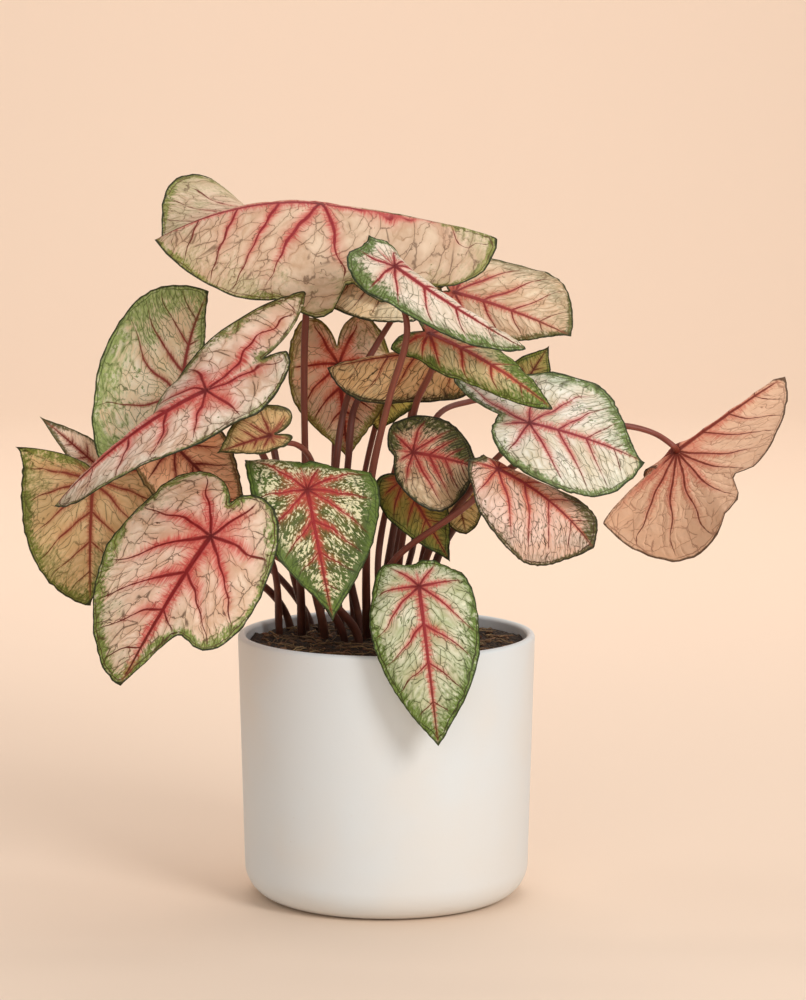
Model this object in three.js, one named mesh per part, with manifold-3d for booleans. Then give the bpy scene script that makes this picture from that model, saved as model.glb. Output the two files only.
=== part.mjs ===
// A caladium in a white ceramic pot: heart-shaped leaves on long stalks that rise from the
// soil, each leaf and each stalk a solid of its own. Millimetres, +Z up. The origin is the
// middle of the pot's flat underside, and the plant's fullest side faces -Y.

import * as THREE from 'three';
import { mergeVertices } from 'three/addons/utils/BufferGeometryUtils.js';
import Module from 'manifold-3d';

// ---- driving dimensions ------------------------------------------------------------------

const POT_HEIGHT = 161.4;
const POT_TOP_RADIUS = 90;
const POT_BOTTOM_RADIUS = 86.3;
const POT_WALL = 5;
const POT_FILLET = 20.5;
const POT_SIDES = 48;
const SOIL_LEVEL = 155;
const SOIL_SIDES = 36;
const FOOT_DEPTH = 16;
const FOOT_RISE = 4;
const GAP = 0.3;

const BLADE = 0.8;
const FLAT_REACH = 8;
const FOLD_REACH = 4;
const HUB_RING = 3.5;
const WAVE_SHARE = 0.02;
const WAVE_COUNT = 5;
const SAMPLES = 8;
const LARGE_BLADE = 55;

const STALK_FOOT = 3;
const STALK_TOP = 1.7;
const STALK_SIDES = 7;
const STALK_STEP = 17;
const STALK_RUN_IN = 8;

const RAD = Math.PI / 180;

// ---- the leaves --------------------------------------------------------------------------
// hub: where the stalk meets the blade. tip: the point of the blade. face: the way the upper
// side looks. Pairs are [left, right] of the midrib, seen from above with the tip ahead.
// droop: how far the midrib arches down along the blade, in degrees. back: the same over the
// lobes. sway: the midrib's sideways bend, [blade, lobes]. wide, lobe: half width and the
// length of the lobe behind the hub. gap: how far out a lobe ends, as a share of the width.
// sinus: how far behind the hub the notch starts. belly: where the blade is widest, as a
// share of its length. point: how full the blade is next to its tip. dents: [direction,
// depth, spread] of dips in the edge. fold: the sharp bend at the midrib. curl: the even
// bend from midrib to edge. Both are degrees, + towards the upper side, and three numbers
// are the values at the tip, at the hub and at the lobes. color: the blade's main colour.
// foot: where the stalk leaves the soil. by: the points its middle line passes on the way up.

const LEAVES = [
  leaf('crown', [-39, -20, 421], [-136, -35, 400], [0, -0.3, 0.95], {
    color: 0xd9a794,
    droop: 39, back: 6, wide: [92, 70], lobe: [100, 110], gap: [0.35, 0.1], sinus: 30,
    belly: [0.15, -0.18], point: [1.04, 0.83],
    dents: [[114, -0.33, 12], [142, -0.2, 14], [62, -0.09, 16]],
    fold: [[-48, -24, -58], [-52, -56, -43]], curl: [[140, -37, -75], [-26, -19, -39]],
    foot: [-38, 12], by: [[-47, -2, 206], [-49, -2, 270], [-48, -17, 353]],
  }),
  leaf('left_star', [-105, -70, 315], [-191, -96, 251], [-0.1, -0.75, 0.6], {
    color: 0xe9c9bd,
    droop: 30, back: -24, sway: [-9, 4], wide: [30, 33], lobe: [84, 53], gap: [0.65, 0.2],
    sinus: 40, point: [0.3, 1], fold: [[-143, -35, 52], [40, 0, -5]],
    curl: [[-65, 20, 71], [0, 10, 25]],
    foot: [-52, 24], by: [[-54, 8, 204], [-73, -36, 273], [-88, -52, 297]],
  }),
  leaf('left_back', [-124, 14, 303], [-108, 30, 366], [-0.3, -0.9, 0.3], {
    color: 0x9aa87c,
    droop: -8, back: -5, sway: [30, -5], wide: [14, 57], lobe: [20, 58], gap: 0.5, sinus: 6,
    belly: [0.07, 0], point: [0.2, 0.87], fold: [[-5, 3, 0], [0, -3, 0]],
    curl: [[25, 10, 0], [-4, 5, 30]],
    foot: [-50, 42], by: [[-59, 28, 201], [-71, 38, 277], [-81, 46, 296], [-105, 44, 300]],
  }),
  leaf('left_slim', [-174, 30, 257], [-211, 26, 290], [-0.2, -0.8, 0.5], {
    color: 0xa98a68,
    droop: 10, wide: 11, lobe: 10, fold: [10, 10], curl: [15, 15],
    foot: [-48, 58], by: [[-77, 50, 198], [-134, 50, 236], [-161, 48, 250]],
  }),
  leaf('far_left', [-175, -22, 256], [-176, -38, 183], [-0.3, -0.95, 0.1], {
    color: 0xc99a80,
    droop: 15, wide: [44, 52], lobe: [20, 22], gap: [1.12, 0.8], belly: [-0.02, -0.1],
    point: [0.75, 0], fold: [5, -28], curl: [10, -8],
    foot: [-60, 44], by: [[-71, 30, 181], [-114, 16, 212], [-157, -6, 242]],
  }),
  leaf('front_left', [-101, -104, 234], [-154, -128, 147], [-0.1, -0.85, 0.5], {
    color: 0xe6c2b6,
    droop: 25, sway: [0, 22], wide: [52, 45], lobe: [44, 31], gap: [0.5, 0.35], sinus: 24,
    belly: [0.2, 0.3], point: [0.6, 0.15], dents: [[14, -0.24, 11]], fold: [0, 0],
    curl: [[-15, -15, -30], [-25, -20, 10]],
    foot: [-17, -8], by: [[-27, -20, 177], [-43, -35, 191], [-65, -76, 219]],
  }),
  leaf('front_mid', [-46, -80, 258], [-31, -105, 185], [0.1, -0.85, 0.5], {
    color: 0x7d8a63,
    droop: 21, back: 60, sway: [-3, -9], wide: [34, 43], lobe: [34, 19], gap: [0.9, 0.85],
    sinus: 22, belly: [0.1, 0.03], point: [0.05, 0.22], fold: [[3, 23, -4], [-2, -2, -2]],
    curl: [[-15, -23, -7], [-4, -16, -10]],
    foot: [-26, 2], by: [[-40, -15, 189], [-44, -45, 230]],
  }),
  leaf('over_rim', [19, -92, 203], [30, -114, 113], [0, -0.95, 0.3], {
    color: 0xe4d9c4,
    droop: 25, back: 40, wide: [31, 33], lobe: [20, 17], gap: [0.5, 0.35], sinus: 16, belly: 0.25,
    point: 0.3, fold: [0, 0], curl: [[-10, -20, -20], [-10, -20, -20]],
    foot: [12, -6], by: [[11, -30, 186], [15, -60, 205]],
  }),
  leaf('right_pink', [65, -70, 269], [121, -72, 223], [0.1, -0.8, 0.6], {
    color: 0xdbb0a4,
    droop: 13, back: -8, sway: [26, 17], wide: [39, 16], lobe: [18, 10], gap: [0.05, 0.45],
    sinus: 19, belly: [0.48, 0.72], point: [0.9, 0.7], fold: [[-21, -4, -10], [22, -50, -7]],
    curl: [[-10, 5, -10], [-22, -62, -11]],
    foot: [-6, -12], by: [[-1, -30, 198], [7, -42, 214], [51, -62, 250]],
  }),
  leaf('right_dark', [16, -46, 276], [54, -55, 268], [0, -0.9, 0.45], {
    color: 0x5a4a38,
    droop: 3, back: -3, sway: [9, 10], wide: [33, 25], lobe: [11, 16], gap: [0.25, 0.5],
    sinus: 15, belly: [0.43, 0.25], point: [0.8, 0.3], fold: [[-40, 19, 8], [1, -6, -19]],
    curl: [[15, 4, 0], [-26, 10, 31]],
    foot: [-3, 0], by: [[-5, -12, 207], [1, -8, 243], [9, -14, 273]],
  }),
  leaf('low_dark', [10, -34, 258], [38, -42, 210], [0, -0.95, 0.3], {
    color: 0x4a4a30,
    droop: 10, wide: [20, 20], lobe: 9, gap: 0.5, fold: [-5, -10],
    curl: [[-10, -20, -20], [-10, -30, -20]],
    foot: [6, 12], by: [[8, -4, 206], [12, -16, 238]],
  }),
  leaf('low_small', [39, -15, 261], [48, -15, 223], [0, -0.95, 0.3], {
    color: 0xa3a36a,
    droop: 10, wide: [14, 16], lobe: 10, gap: 0.6, point: 0.8, fold: [0, 0], curl: [0, 0],
    foot: [16, 34], by: [[23, 20, 209], [32, 4, 242]],
  }),
  leaf('right_white', [84, -60, 295], [151, -70, 273], [0.1, -0.75, 0.65], {
    color: 0xdcd8c4,
    droop: 20, back: -5, sway: [1, -21], wide: [37, 41], lobe: [20, 59], gap: [0.15, 0.3],
    sinus: 20, belly: [0.37, 0.33], point: [0.85, 0.03], fold: [[-21, 0, 0], [2, 0, -13]],
    curl: [[0, -3, 7], [10, -5, -2]],
    foot: [17, 10], by: [[25, -16, 212], [50, -32, 252], [67, -48, 275]],
  }),
  leaf('upper_white', [5, -82, 388], [80, -92, 341], [0, -0.75, 0.65], {
    color: 0xe0cfc0,
    droop: 24, back: 9, sway: [-24, -31], wide: [25, 28], lobe: [24, 21], gap: [0.43, 0.6],
    sinus: 29, belly: [0.06, 0.2], point: [0.5, 0.6], fold: [[11, 4, -23], [-83, -43, -25]],
    curl: [[26, -8, -4], [-84, -42, -14]],
    foot: [-12, 12], by: [[-12, -20, 208], [-9, -44, 260], [2, -64, 311], [12, -80, 352]],
  }),
  leaf('back_right', [42, 49, 364], [113, 38, 338], [0.1, -0.8, 0.6], {
    color: 0xd8ae94,
    droop: 20, wide: [20, 38], lobe: [20, 12], gap: 0.5, belly: [0.4, 0.6], point: [0.2, 0.7],
    fold: [-20, 0], curl: [-20, -10],
    foot: [-8, 38], by: [[5, 36, 200], [17, 50, 298], [31, 56, 341]],
  }),
  leaf('under_crown', [14, -2, 379], [-47, -4, 375], [0, -0.5, 0.85], {
    color: 0xd6b08e,
    droop: 20, wide: [20, 34], lobe: 20, gap: 0.5, point: [0.2, 0.8], fold: [-50, -20],
    curl: [-30, -20],
    foot: [-28, 22], by: [[-32, 10, 204], [-30, -4, 267], [-23, 2, 305], [-6, 12, 335], [9, 10, 360]],
  }),
  leaf('back_mid', [-29, 24, 322], [-23, 14, 265], [-0.1, -0.95, 0.2], {
    color: 0xc68e7e,
    droop: 20, wide: [32, 32], lobe: [32, 30], gap: 0.5, sinus: 12, fold: [0, 0],
    curl: [-10, [-20, -10, -10]],
    foot: [-30, 44], by: [[-34, 46, 180], [-32, 44, 261], [-30, 42, 299]],
  }),
  leaf('mid_flat', [35, -16, 333], [-35, -26, 324], [0, -0.55, 0.8], {
    color: 0xc79a80,
    droop: 15, wide: [24, 30], lobe: [18, 28], gap: 0.5, point: [0.2, 1], fold: [-40, -45],
    curl: [-30, -20],
    foot: [-16, 30], by: [[-24, 22, 202], [-23, 5, 266], [-16, 8, 304], [11, 6, 319]],
  }),
  leaf('mid_green', [25, -66, 348], [96, -78, 305], [0.1, -0.6, 0.8], {
    color: 0x8e9a6c,
    droop: 25, wide: [19, 22], lobe: [18, 12], gap: [0.9, 0.7], point: [0.6, 0.3],
    fold: [-30, -10], curl: [-50, -20],
    foot: [-6, 24], by: [[1, 14, 203], [11, 4, 260], [18, -34, 305], [27, -52, 328]],
  }),
  leaf('back_corner', [82, 44, 303], [100, 52, 331], [0, -0.8, 0.6], {
    color: 0x8a8052,
    droop: 10, wide: 16, lobe: 14, gap: 0.5, fold: [0, 0], curl: [5, 5],
    foot: [3, 48], by: [[16, 46, 205], [31, 54, 287], [52, 60, 296], [73, 58, 298]],
  }),
  leaf('far_right', [176, 8, 271], [241, 10, 316], [0.35, 0.85, -0.4], {
    color: 0xd9a585,
    droop: -4, back: -4, sway: [-3, -3], wide: [40, 72], lobe: [29, 63], gap: [0.45, 0.1],
    sinus: 16, belly: [0.07, 0], point: [0.02, 0.47], dents: [[70, -0.25, 7]],
    fold: [[123, 135, 150], [-36, -18, 8]], curl: [[-7, -2, -7], [0, -20, 31]],
    foot: [26, 26],
    by: [[31, 16, 204], [54, 10, 240], [78, 4, 263], [111, 2, 282], [141, 2, 287], [162, 4, 282]],
  }),
  leaf('left_under', [-124, -47, 280], [-81, -48, 237], [0.2, -0.8, -0.5], {
    color: 0xb98066,
    droop: 10, wide: [32, 28], lobe: 18, gap: 0.5, fold: [0, 0], curl: [0, 0],
    foot: [-66, 30], by: [[-70, 14, 203], [-97, -8, 243]],
  }),
  leaf('young', [-68, -74, 289], [-98, -82, 280], [0.1, -0.8, 0.5], {
    color: 0xb09a6e,
    droop: 15, wide: [20, 10], lobe: [18, 12], gap: 0.5, fold: [0, 0], curl: [10, 10],
    foot: [-40, 33], by: [[-40, 12, 204], [-42, -18, 259], [-53, -56, 282]],
  }),
  leaf('old_olive', [-1, 30, 309], [-5, 34, 280], [0.1, -0.95, 0.2], {
    color: 0xb0a66a,
    droop: 10, wide: 22, lobe: 16, gap: 0.5, fold: [0, 0], curl: [0, 0],
    foot: [-20, 46], by: [[-22, 46, 199], [-13, 48, 255], [-3, 46, 298]],
  }),
];

function leaf(name, hub, tip, face, shape) {
  return { name, hub, tip, face, ...shape };
}

// ---- small helpers -----------------------------------------------------------------------

const wasm = await Module();
wasm.setup();

const model = new THREE.Group();

const LOOK = {
  pot: { color: 0xece6dd, roughness: 0.55, metalness: 0 },
  soil: { color: 0x3a2a20, roughness: 0.95, metalness: 0 },
  leaf: { roughness: 0.5, metalness: 0 },
  stalk: { color: 0x6e3228, roughness: 0.6, metalness: 0 },
};

function add(name, geometry, look) {
  geometry.computeVertexNormals();
  const mesh = new THREE.Mesh(geometry, new THREE.MeshStandardMaterial(look));
  mesh.name = name;
  model.add(mesh);
  return mesh;
}

function bare(geometry) {
  geometry.deleteAttribute('normal');
  geometry.deleteAttribute('uv');
  return mergeVertices(geometry, 1e-3);
}

function solid(geometry) {
  const vertProperties = new Float32Array(geometry.attributes.position.array);
  const triVerts = new Uint32Array(geometry.index.array);
  return new wasm.Manifold(new wasm.Mesh({ numProp: 3, vertProperties, triVerts }));
}

function fromSolid(manifold) {
  const mesh = manifold.getMesh();
  const geometry = new THREE.BufferGeometry();
  geometry.setAttribute('position', new THREE.BufferAttribute(mesh.vertProperties, 3));
  geometry.setIndex(new THREE.BufferAttribute(mesh.triVerts, 1));
  return geometry;
}

function bothSides(value, fallback) {
  if (value === undefined) {
    return [fallback, fallback];
  }
  return Array.isArray(value) ? value : [value, value];
}

function stations(value) {
  return Array.isArray(value) ? value : [value, value, value];
}

function sinc(angle) {
  return Math.abs(angle) < 1e-6 ? 1 : Math.sin(angle) / angle;
}

// The mean of f over the stretch from 0 to end, by equal steps.
function meanOver(end, f) {
  let sum = 0;
  for (let i = 0; i < SAMPLES; i++) {
    sum += f(((i + 0.5) / SAMPLES) * end);
  }
  return sum / SAMPLES;
}

function bezier(points, count) {
  const curve = new THREE.CubicBezierCurve(...points.map(([a, b]) => new THREE.Vector2(a, b)));
  return curve.getPoints(count).slice(0, -1);
}

// ---- one blade ---------------------------------------------------------------------------
// Flat coordinates: a runs along the midrib from the hub, + to the tip and - over the lobes;
// b runs across it, + on the right.

function blade(spec) {
  const hub = new THREE.Vector3(...spec.hub);
  const chord = new THREE.Vector3(...spec.tip).sub(hub);
  const along = chord.clone().normalize();
  const up = new THREE.Vector3(...spec.face).addScaledVector(
    along,
    -new THREE.Vector3(...spec.face).dot(along),
  );
  up.normalize();
  const across = new THREE.Vector3().crossVectors(up, along);
  const droop = (spec.droop ?? 0) * RAD;
  const [swayTip, swayLobe] = (spec.sway ?? [0, 0]).map((angle) => angle * RAD);
  const length = chord.length() / (sinc(droop / 2) * sinc(swayTip / 2));
  const wide = bothSides(spec.wide);
  const lobe = bothSides(spec.lobe);
  return {
    hub,
    along,
    up,
    across,
    droop,
    swayTip,
    swayLobe,
    length,
    wide,
    lobe,
    back: (spec.back ?? 0) * RAD,
    gap: bothSides(spec.gap, 0.5).map((share, side) => share * wide[side]),
    sinus: spec.sinus ?? 0.35 * Math.min(...lobe),
    belly: bothSides(spec.belly, 0.12),
    point: bothSides(spec.point, 0.16),
    dents: spec.dents ?? [],
    fold: spec.fold.map(stations),
    curl: spec.curl.map(stations),
  };
}

// Half of the edge, from the tip round the lobe to the notch.
function halfEdge(leafShape, side, counts) {
  const { length, sinus } = leafShape;
  const wide = leafShape.wide[side];
  const lobe = leafShape.lobe[side];
  const gap = leafShape.gap[side];
  const point = leafShape.point[side];
  const belly = leafShape.belly[side] * length;
  const front = [
    [length, 0],
    [length * (0.8 + 0.15 * point), wide * point],
    [belly + 0.45 * (length - belly), wide],
    [belly, wide],
  ];
  const round = [
    [belly, wide],
    [belly - 0.55 * (belly + lobe), wide],
    [-lobe, gap + 0.55 * (wide - gap)],
    [-lobe, gap],
  ];
  const notch = [
    [-lobe, gap],
    [-lobe, 0.45 * gap],
    [-sinus - 0.45 * (lobe - sinus), 0.1 * gap],
    [-sinus, 0],
  ];
  const pieces = [front, round, notch].map((points, i) => bezier(points, counts[i]));
  return [...pieces.flat(), new THREE.Vector2(-sinus, 0)];
}

function edge(leafShape, counts) {
  const right = halfEdge(leafShape, 1, counts);
  const left = halfEdge(leafShape, 0, counts).slice(1, -1).reverse();
  const all = [...right, ...left.map((p) => new THREE.Vector2(p.x, -p.y))];
  return all.map((p) => {
    const direction = Math.atan2(p.y, p.x) / RAD;
    let stretch = 1;
    for (const [at, depth, spread] of leafShape.dents) {
      const off = ((((direction - at + 180) % 360) + 360) % 360) - 180;
      stretch *= 1 + depth * Math.exp(-((off / spread) ** 2));
    }
    return p.clone().multiplyScalar(stretch);
  });
}

// A flat point of the blade put in its bent place, lifted by c off its middle surface.
function place(leafShape, a, b, c = 0) {
  const { hub, along, up, across, droop, swayTip, swayLobe, length, back } = leafShape;
  const side = b >= 0 ? 1 : 0;
  const longLobe = Math.max(...leafShape.lobe);
  const pitch = (x) => (x >= 0 ? droop / 2 - (droop * x) / length : droop / 2 - (back * x) / longLobe);
  const yaw = (x) =>
    x >= 0
      ? swayTip / 2 - (swayTip * x) / length
      : swayTip / 2 + swayLobe * Math.min(1, -x / longLobe);
  const forward = a * meanOver(a, (x) => Math.cos(pitch(x)) * Math.cos(yaw(x)));
  const sideways = a * meanOver(a, (x) => Math.cos(pitch(x)) * Math.sin(yaw(x)));
  const lift = a * meanOver(a, (x) => Math.sin(pitch(x)));
  const heading = along.clone().multiplyScalar(Math.cos(yaw(a))).addScaledVector(across, Math.sin(yaw(a)));
  const out = across.clone().multiplyScalar(Math.cos(yaw(a))).addScaledVector(along, -Math.sin(yaw(a)));
  const normal = up.clone().multiplyScalar(Math.cos(pitch(a))).addScaledVector(heading, -Math.sin(pitch(a)));

  const share = Math.min(1, a >= 0 ? a / length : -a / longLobe);
  const between = ([atTip, atHub, atLobe]) => (atHub + ((a >= 0 ? atTip : atLobe) - atHub) * share) * RAD;
  const flat = 1 - Math.exp(-(a * a + b * b) / FLAT_REACH ** 2);
  const fold = between(leafShape.fold[side]) * flat;
  const curl = between(leafShape.curl[side]);
  const turn = (x) => fold * (1 - Math.exp(-x / FOLD_REACH)) + (curl * x) / leafShape.wide[side];
  const reach = Math.abs(b);
  const sign = b >= 0 ? 1 : -1;
  const outward = reach * meanOver(reach, (x) => Math.cos(turn(x)));
  const rise = reach * meanOver(reach, (x) => Math.sin(turn(x)));
  const end = turn(reach);
  const skin = normal.clone().multiplyScalar(Math.cos(end)).addScaledVector(out, -Math.sin(end) * sign);
  return hub
    .clone()
    .addScaledVector(along, forward)
    .addScaledVector(across, sideways)
    .addScaledVector(up, lift)
    .addScaledVector(out, outward * sign)
    .addScaledVector(normal, rise)
    .addScaledVector(skin, c);
}

// The blade as a closed sheet: spokes from the hub to the edge, crossed by rings. Every
// corner of the middle surface is moved out along the mean of its facets' normals, far enough
// that both skins lie half the blade's thickness away from it.
function bladeGeometry(spec) {
  const leafShape = blade(spec);
  const large = leafShape.length > LARGE_BLADE;
  const rim = edge(leafShape, large ? [6, 4, 3] : [4, 3, 2]);
  const shares = large ? [0.36, 0.7, 1] : [0.5, 1];
  const spokes = rim.length;
  const middle = [place(leafShape, 0, 0)];
  const ringOf = (share, point) => (share === 0 ? Math.min(0.3, HUB_RING / point.length()) : share);
  for (const share of [0, ...shares]) {
    for (const point of rim) {
      const s = ringOf(share, point);
      const angle = Math.atan2(point.y, point.x);
      const wave = WAVE_SHARE * leafShape.length * s ** 3 * Math.sin(WAVE_COUNT * angle);
      middle.push(place(leafShape, point.x * s, point.y * s, wave));
    }
  }
  const rings = shares.length + 1;
  const at = (ring, spoke) => 1 + ring * spokes + (spoke % spokes);
  const facets = [];
  for (let j = 0; j < spokes; j++) {
    facets.push([0, at(0, j), at(0, j + 1)]);
    for (let i = 0; i < rings - 1; i++) {
      facets.push([at(i, j), at(i + 1, j), at(i + 1, j + 1)]);
      facets.push([at(i, j), at(i + 1, j + 1), at(i, j + 1)]);
    }
  }

  const lean = middle.map(() => new THREE.Vector3());
  const touching = middle.map(() => []);
  for (const corners of facets) {
    const [p, q, r] = corners.map((k) => middle[k]);
    const face = new THREE.Vector3().crossVectors(q.clone().sub(p), r.clone().sub(p)).normalize();
    corners.forEach((k, n) => {
      const ahead = middle[corners[(n + 1) % 3]].clone().sub(middle[k]);
      const behind = middle[corners[(n + 2) % 3]].clone().sub(middle[k]);
      lean[k].addScaledVector(face, ahead.angleTo(behind));
      touching[k].push(face);
    });
  }
  const offsets = lean.map((sum, k) => {
    const direction = sum.clone().normalize();
    const least = Math.min(...touching[k].map((face) => face.dot(direction)));
    return direction.multiplyScalar(BLADE / 2 / Math.max(0.35, (1 + least) / 2));
  });

  const count = middle.length;
  const positions = [];
  for (const sign of [1, -1]) {
    middle.forEach((p, k) => positions.push(...p.clone().addScaledVector(offsets[k], sign).toArray()));
  }
  const index = [];
  for (const [p, q, r] of facets) {
    index.push(p, q, r, count + p, count + r, count + q);
  }
  for (let j = 0; j < spokes; j++) {
    const p = at(rings - 1, j);
    const q = at(rings - 1, j + 1);
    index.push(p, count + p, count + q, p, count + q, q);
  }
  const geometry = new THREE.BufferGeometry();
  geometry.setAttribute('position', new THREE.Float32BufferAttribute(positions, 3));
  geometry.setIndex(index);
  return geometry;
}

// ---- one stalk ---------------------------------------------------------------------------
// A tapering round stem along a smooth line. "spare" makes it that much fatter and longer at
// the foot, for the hole it stands in.

function stalkGeometry(spec, spare = 0) {
  const leafShape = blade(spec);
  const [x, y] = spec.foot;
  const path = new THREE.CatmullRomCurve3([
    new THREE.Vector3(x, y, SOIL_LEVEL - FOOT_DEPTH),
    new THREE.Vector3(x, y, SOIL_LEVEL + FOOT_RISE),
    ...spec.by.map((p) => new THREE.Vector3(...p)),
    place(leafShape, 0, 0, -STALK_RUN_IN),
    place(leafShape, 0, 0, -BLADE / 2 - GAP),
  ]);
  const steps = Math.max(8, Math.round(path.getLength() / STALK_STEP));
  const outline = new THREE.Shape();
  for (let i = 0; i < STALK_SIDES; i++) {
    const angle = (2 * Math.PI * i) / STALK_SIDES;
    const corner = [Math.cos(angle), Math.sin(angle)];
    if (i === 0) {
      outline.moveTo(...corner);
    } else {
      outline.lineTo(...corner);
    }
  }
  const settings = { steps, extrudePath: path, bevelEnabled: false };
  const geometry = bare(new THREE.ExtrudeGeometry(outline, settings));
  const centres = path.getSpacedPoints(steps);
  const position = geometry.attributes.position;
  const scale = Math.min(1, 0.75 + leafShape.length / 400);
  for (let i = 0; i < position.count; i++) {
    const corner = new THREE.Vector3().fromBufferAttribute(position, i);
    let nearest = 0;
    centres.forEach((centre, k) => {
      if (centre.distanceTo(corner) < centres[nearest].distanceTo(corner)) {
        nearest = k;
      }
    });
    const share = nearest / steps;
    const radius = (STALK_FOOT + (STALK_TOP - STALK_FOOT) * share ** 0.7) * scale + spare;
    corner.sub(centres[nearest]).multiplyScalar(radius).add(centres[nearest]);
    if (nearest === 0) {
      corner.z -= spare;
    }
    position.setXYZ(i, corner.x, corner.y, corner.z);
  }
  return geometry;
}

// ---- the pot -----------------------------------------------------------------------------

const wallLean = (POT_TOP_RADIUS - POT_BOTTOM_RADIUS) / (POT_HEIGHT - POT_FILLET);

function arc(profile, x, z, radius, from, to, count) {
  for (let i = 0; i <= count; i++) {
    const angle = (from + ((to - from) * i) / count) * RAD;
    profile.push(new THREE.Vector2(x + radius * Math.cos(angle), z + radius * Math.sin(angle)));
  }
}

// LatheGeometry turns about Y, so what it makes is stood up on Z.
function turned(profile, sides) {
  return bare(new THREE.LatheGeometry(profile, sides).rotateX(Math.PI / 2));
}

function innerRadius(z) {
  return POT_BOTTOM_RADIUS + wallLean * (z - POT_FILLET) - POT_WALL;
}

function potGeometry() {
  const lip = POT_WALL / 2;
  const inside = POT_FILLET - POT_WALL;
  const profile = [new THREE.Vector2(0, 0)];
  arc(profile, POT_BOTTOM_RADIUS - POT_FILLET, POT_FILLET, POT_FILLET, -90, 0, 5);
  arc(profile, POT_TOP_RADIUS - lip, POT_HEIGHT - lip, lip, 0, 180, 6);
  arc(profile, POT_BOTTOM_RADIUS - POT_FILLET, POT_FILLET, inside, 0, -90, 4);
  profile.push(new THREE.Vector2(0, POT_WALL));
  return turned(profile, POT_SIDES);
}

// ---- the soil ----------------------------------------------------------------------------
// It fills the pot to a little under the rim, with a gently uneven top, and has a hole for
// every stalk's foot.

function soilGeometry() {
  const inside = POT_FILLET - POT_WALL - GAP;
  const facetGap = GAP + innerRadius(SOIL_LEVEL) * (1 - Math.cos(Math.PI / POT_SIDES));
  const profile = [new THREE.Vector2(0, POT_WALL + GAP)];
  const side = POT_BOTTOM_RADIUS - POT_FILLET - facetGap + GAP;
  arc(profile, side, POT_FILLET, inside, -90, 0, 4);
  for (const share of [1, 0.86, 0.7, 0.54, 0.38, 0.2, 0]) {
    profile.push(new THREE.Vector2((innerRadius(SOIL_LEVEL) - facetGap) * share, SOIL_LEVEL));
  }
  const geometry = turned(profile, SOIL_SIDES);
  const position = geometry.attributes.position;
  for (let i = 0; i < position.count; i++) {
    if (position.getZ(i) > SOIL_LEVEL - 1) {
      const x = position.getX(i);
      const y = position.getY(i);
      const bump = 0.9 * Math.sin(x / 9 + 1) * Math.cos(y / 7) + 0.6 * Math.sin((x + y) / 5);
      position.setZ(i, SOIL_LEVEL + bump);
    }
  }
  return geometry;
}

// ---- the model ---------------------------------------------------------------------------

add('pot', potGeometry(), LOOK.pot);

let soil = solid(soilGeometry());
for (const spec of LEAVES) {
  soil = soil.subtract(solid(stalkGeometry(spec, GAP)));
}
add('soil', fromSolid(soil), LOOK.soil);

for (const spec of LEAVES) {
  add(`leaf_${spec.name}`, bladeGeometry(spec), { ...LOOK.leaf, color: spec.color });
  add(`petiole_${spec.name}`, stalkGeometry(spec), LOOK.stalk);
}

export default model;
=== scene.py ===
"""A caladium in a white ceramic pot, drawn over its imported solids.

Run as a script inside Blender. The tables and the shapes are in millimetres, and the settings,
the stage and the finished meshes in metres. The plant is a pot, soil with bark and fibres, and
24 blades on 24 stalks, each a piece of its own.
"""

import math

import bpy
import numpy as np
from mathutils import Matrix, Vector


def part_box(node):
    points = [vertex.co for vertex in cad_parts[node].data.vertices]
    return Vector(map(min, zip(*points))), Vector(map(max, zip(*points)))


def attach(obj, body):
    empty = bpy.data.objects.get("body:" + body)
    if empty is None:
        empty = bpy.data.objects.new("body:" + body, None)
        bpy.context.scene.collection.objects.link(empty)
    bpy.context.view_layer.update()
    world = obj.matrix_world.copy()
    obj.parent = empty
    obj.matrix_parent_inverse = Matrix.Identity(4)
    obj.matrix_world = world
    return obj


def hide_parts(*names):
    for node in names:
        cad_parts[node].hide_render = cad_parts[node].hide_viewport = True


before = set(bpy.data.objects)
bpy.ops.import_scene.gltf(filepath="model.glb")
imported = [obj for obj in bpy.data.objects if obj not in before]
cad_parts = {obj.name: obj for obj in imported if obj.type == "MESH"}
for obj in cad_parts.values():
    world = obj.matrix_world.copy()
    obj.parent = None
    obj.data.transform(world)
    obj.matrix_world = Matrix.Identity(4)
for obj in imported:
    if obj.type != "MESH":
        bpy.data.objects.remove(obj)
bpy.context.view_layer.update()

bl_info = {
    "name": "Potted caladium",
    "version": (1, 0, 0),
    "blender": (4, 5, 0),
    "location": "3D View > Sidebar > Caladium",
    "description": "Builds a potted caladium with veined blades, stalks, soil and pot",
    "category": "Add Mesh",
}

MM = 0.001

FLAT_REACH = 8.0  # a blade stays flat within about this distance of its hub
FOLD_REACH = 4.0  # the fold at the midrib turns within about this distance of it
WAVE_SHARE, WAVE_COUNT = 0.02, 5  # the edge's slow waves: height by length, and how many
RIB_ANGLE = math.radians(52)  # between the midrib and a main vein
RIB_BEND = 0.22  # how far a main vein sweeps towards the tip, by width
RIB_GAP, RIB_GAP_SHARE = 7.0, 0.24  # between veins along the midrib: at least, and by length
MIN_SWING = 0.7  # the least angle that a lobe's ribs share, in radians
PILLOW, PILLOW_REACH = 0.9, 3.2  # how high the skin swells between veins, and how near one
LARGE_BLADE = 55.0  # a blade longer than this gets the finer grid
RUN_IN = 8.0  # how far under the hub a stalk turns straight at it
SOIL_TOP = 155.0  # the soil's level, which its lumps rise from and sink under
MIDPOINTS = (np.arange(8) + 0.5) / 8  # the steps by which a bend is summed


# ---- numbers ----


def pair(value):
    """[left, right] of a value given once for both sides or as a pair."""
    return np.array(value if isinstance(value, tuple) else (value, value), float)


def triple(value):
    """The value at the tip, the hub and the lobes, in radians."""
    return np.radians(value if isinstance(value, tuple) else (value,) * 3)


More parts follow.
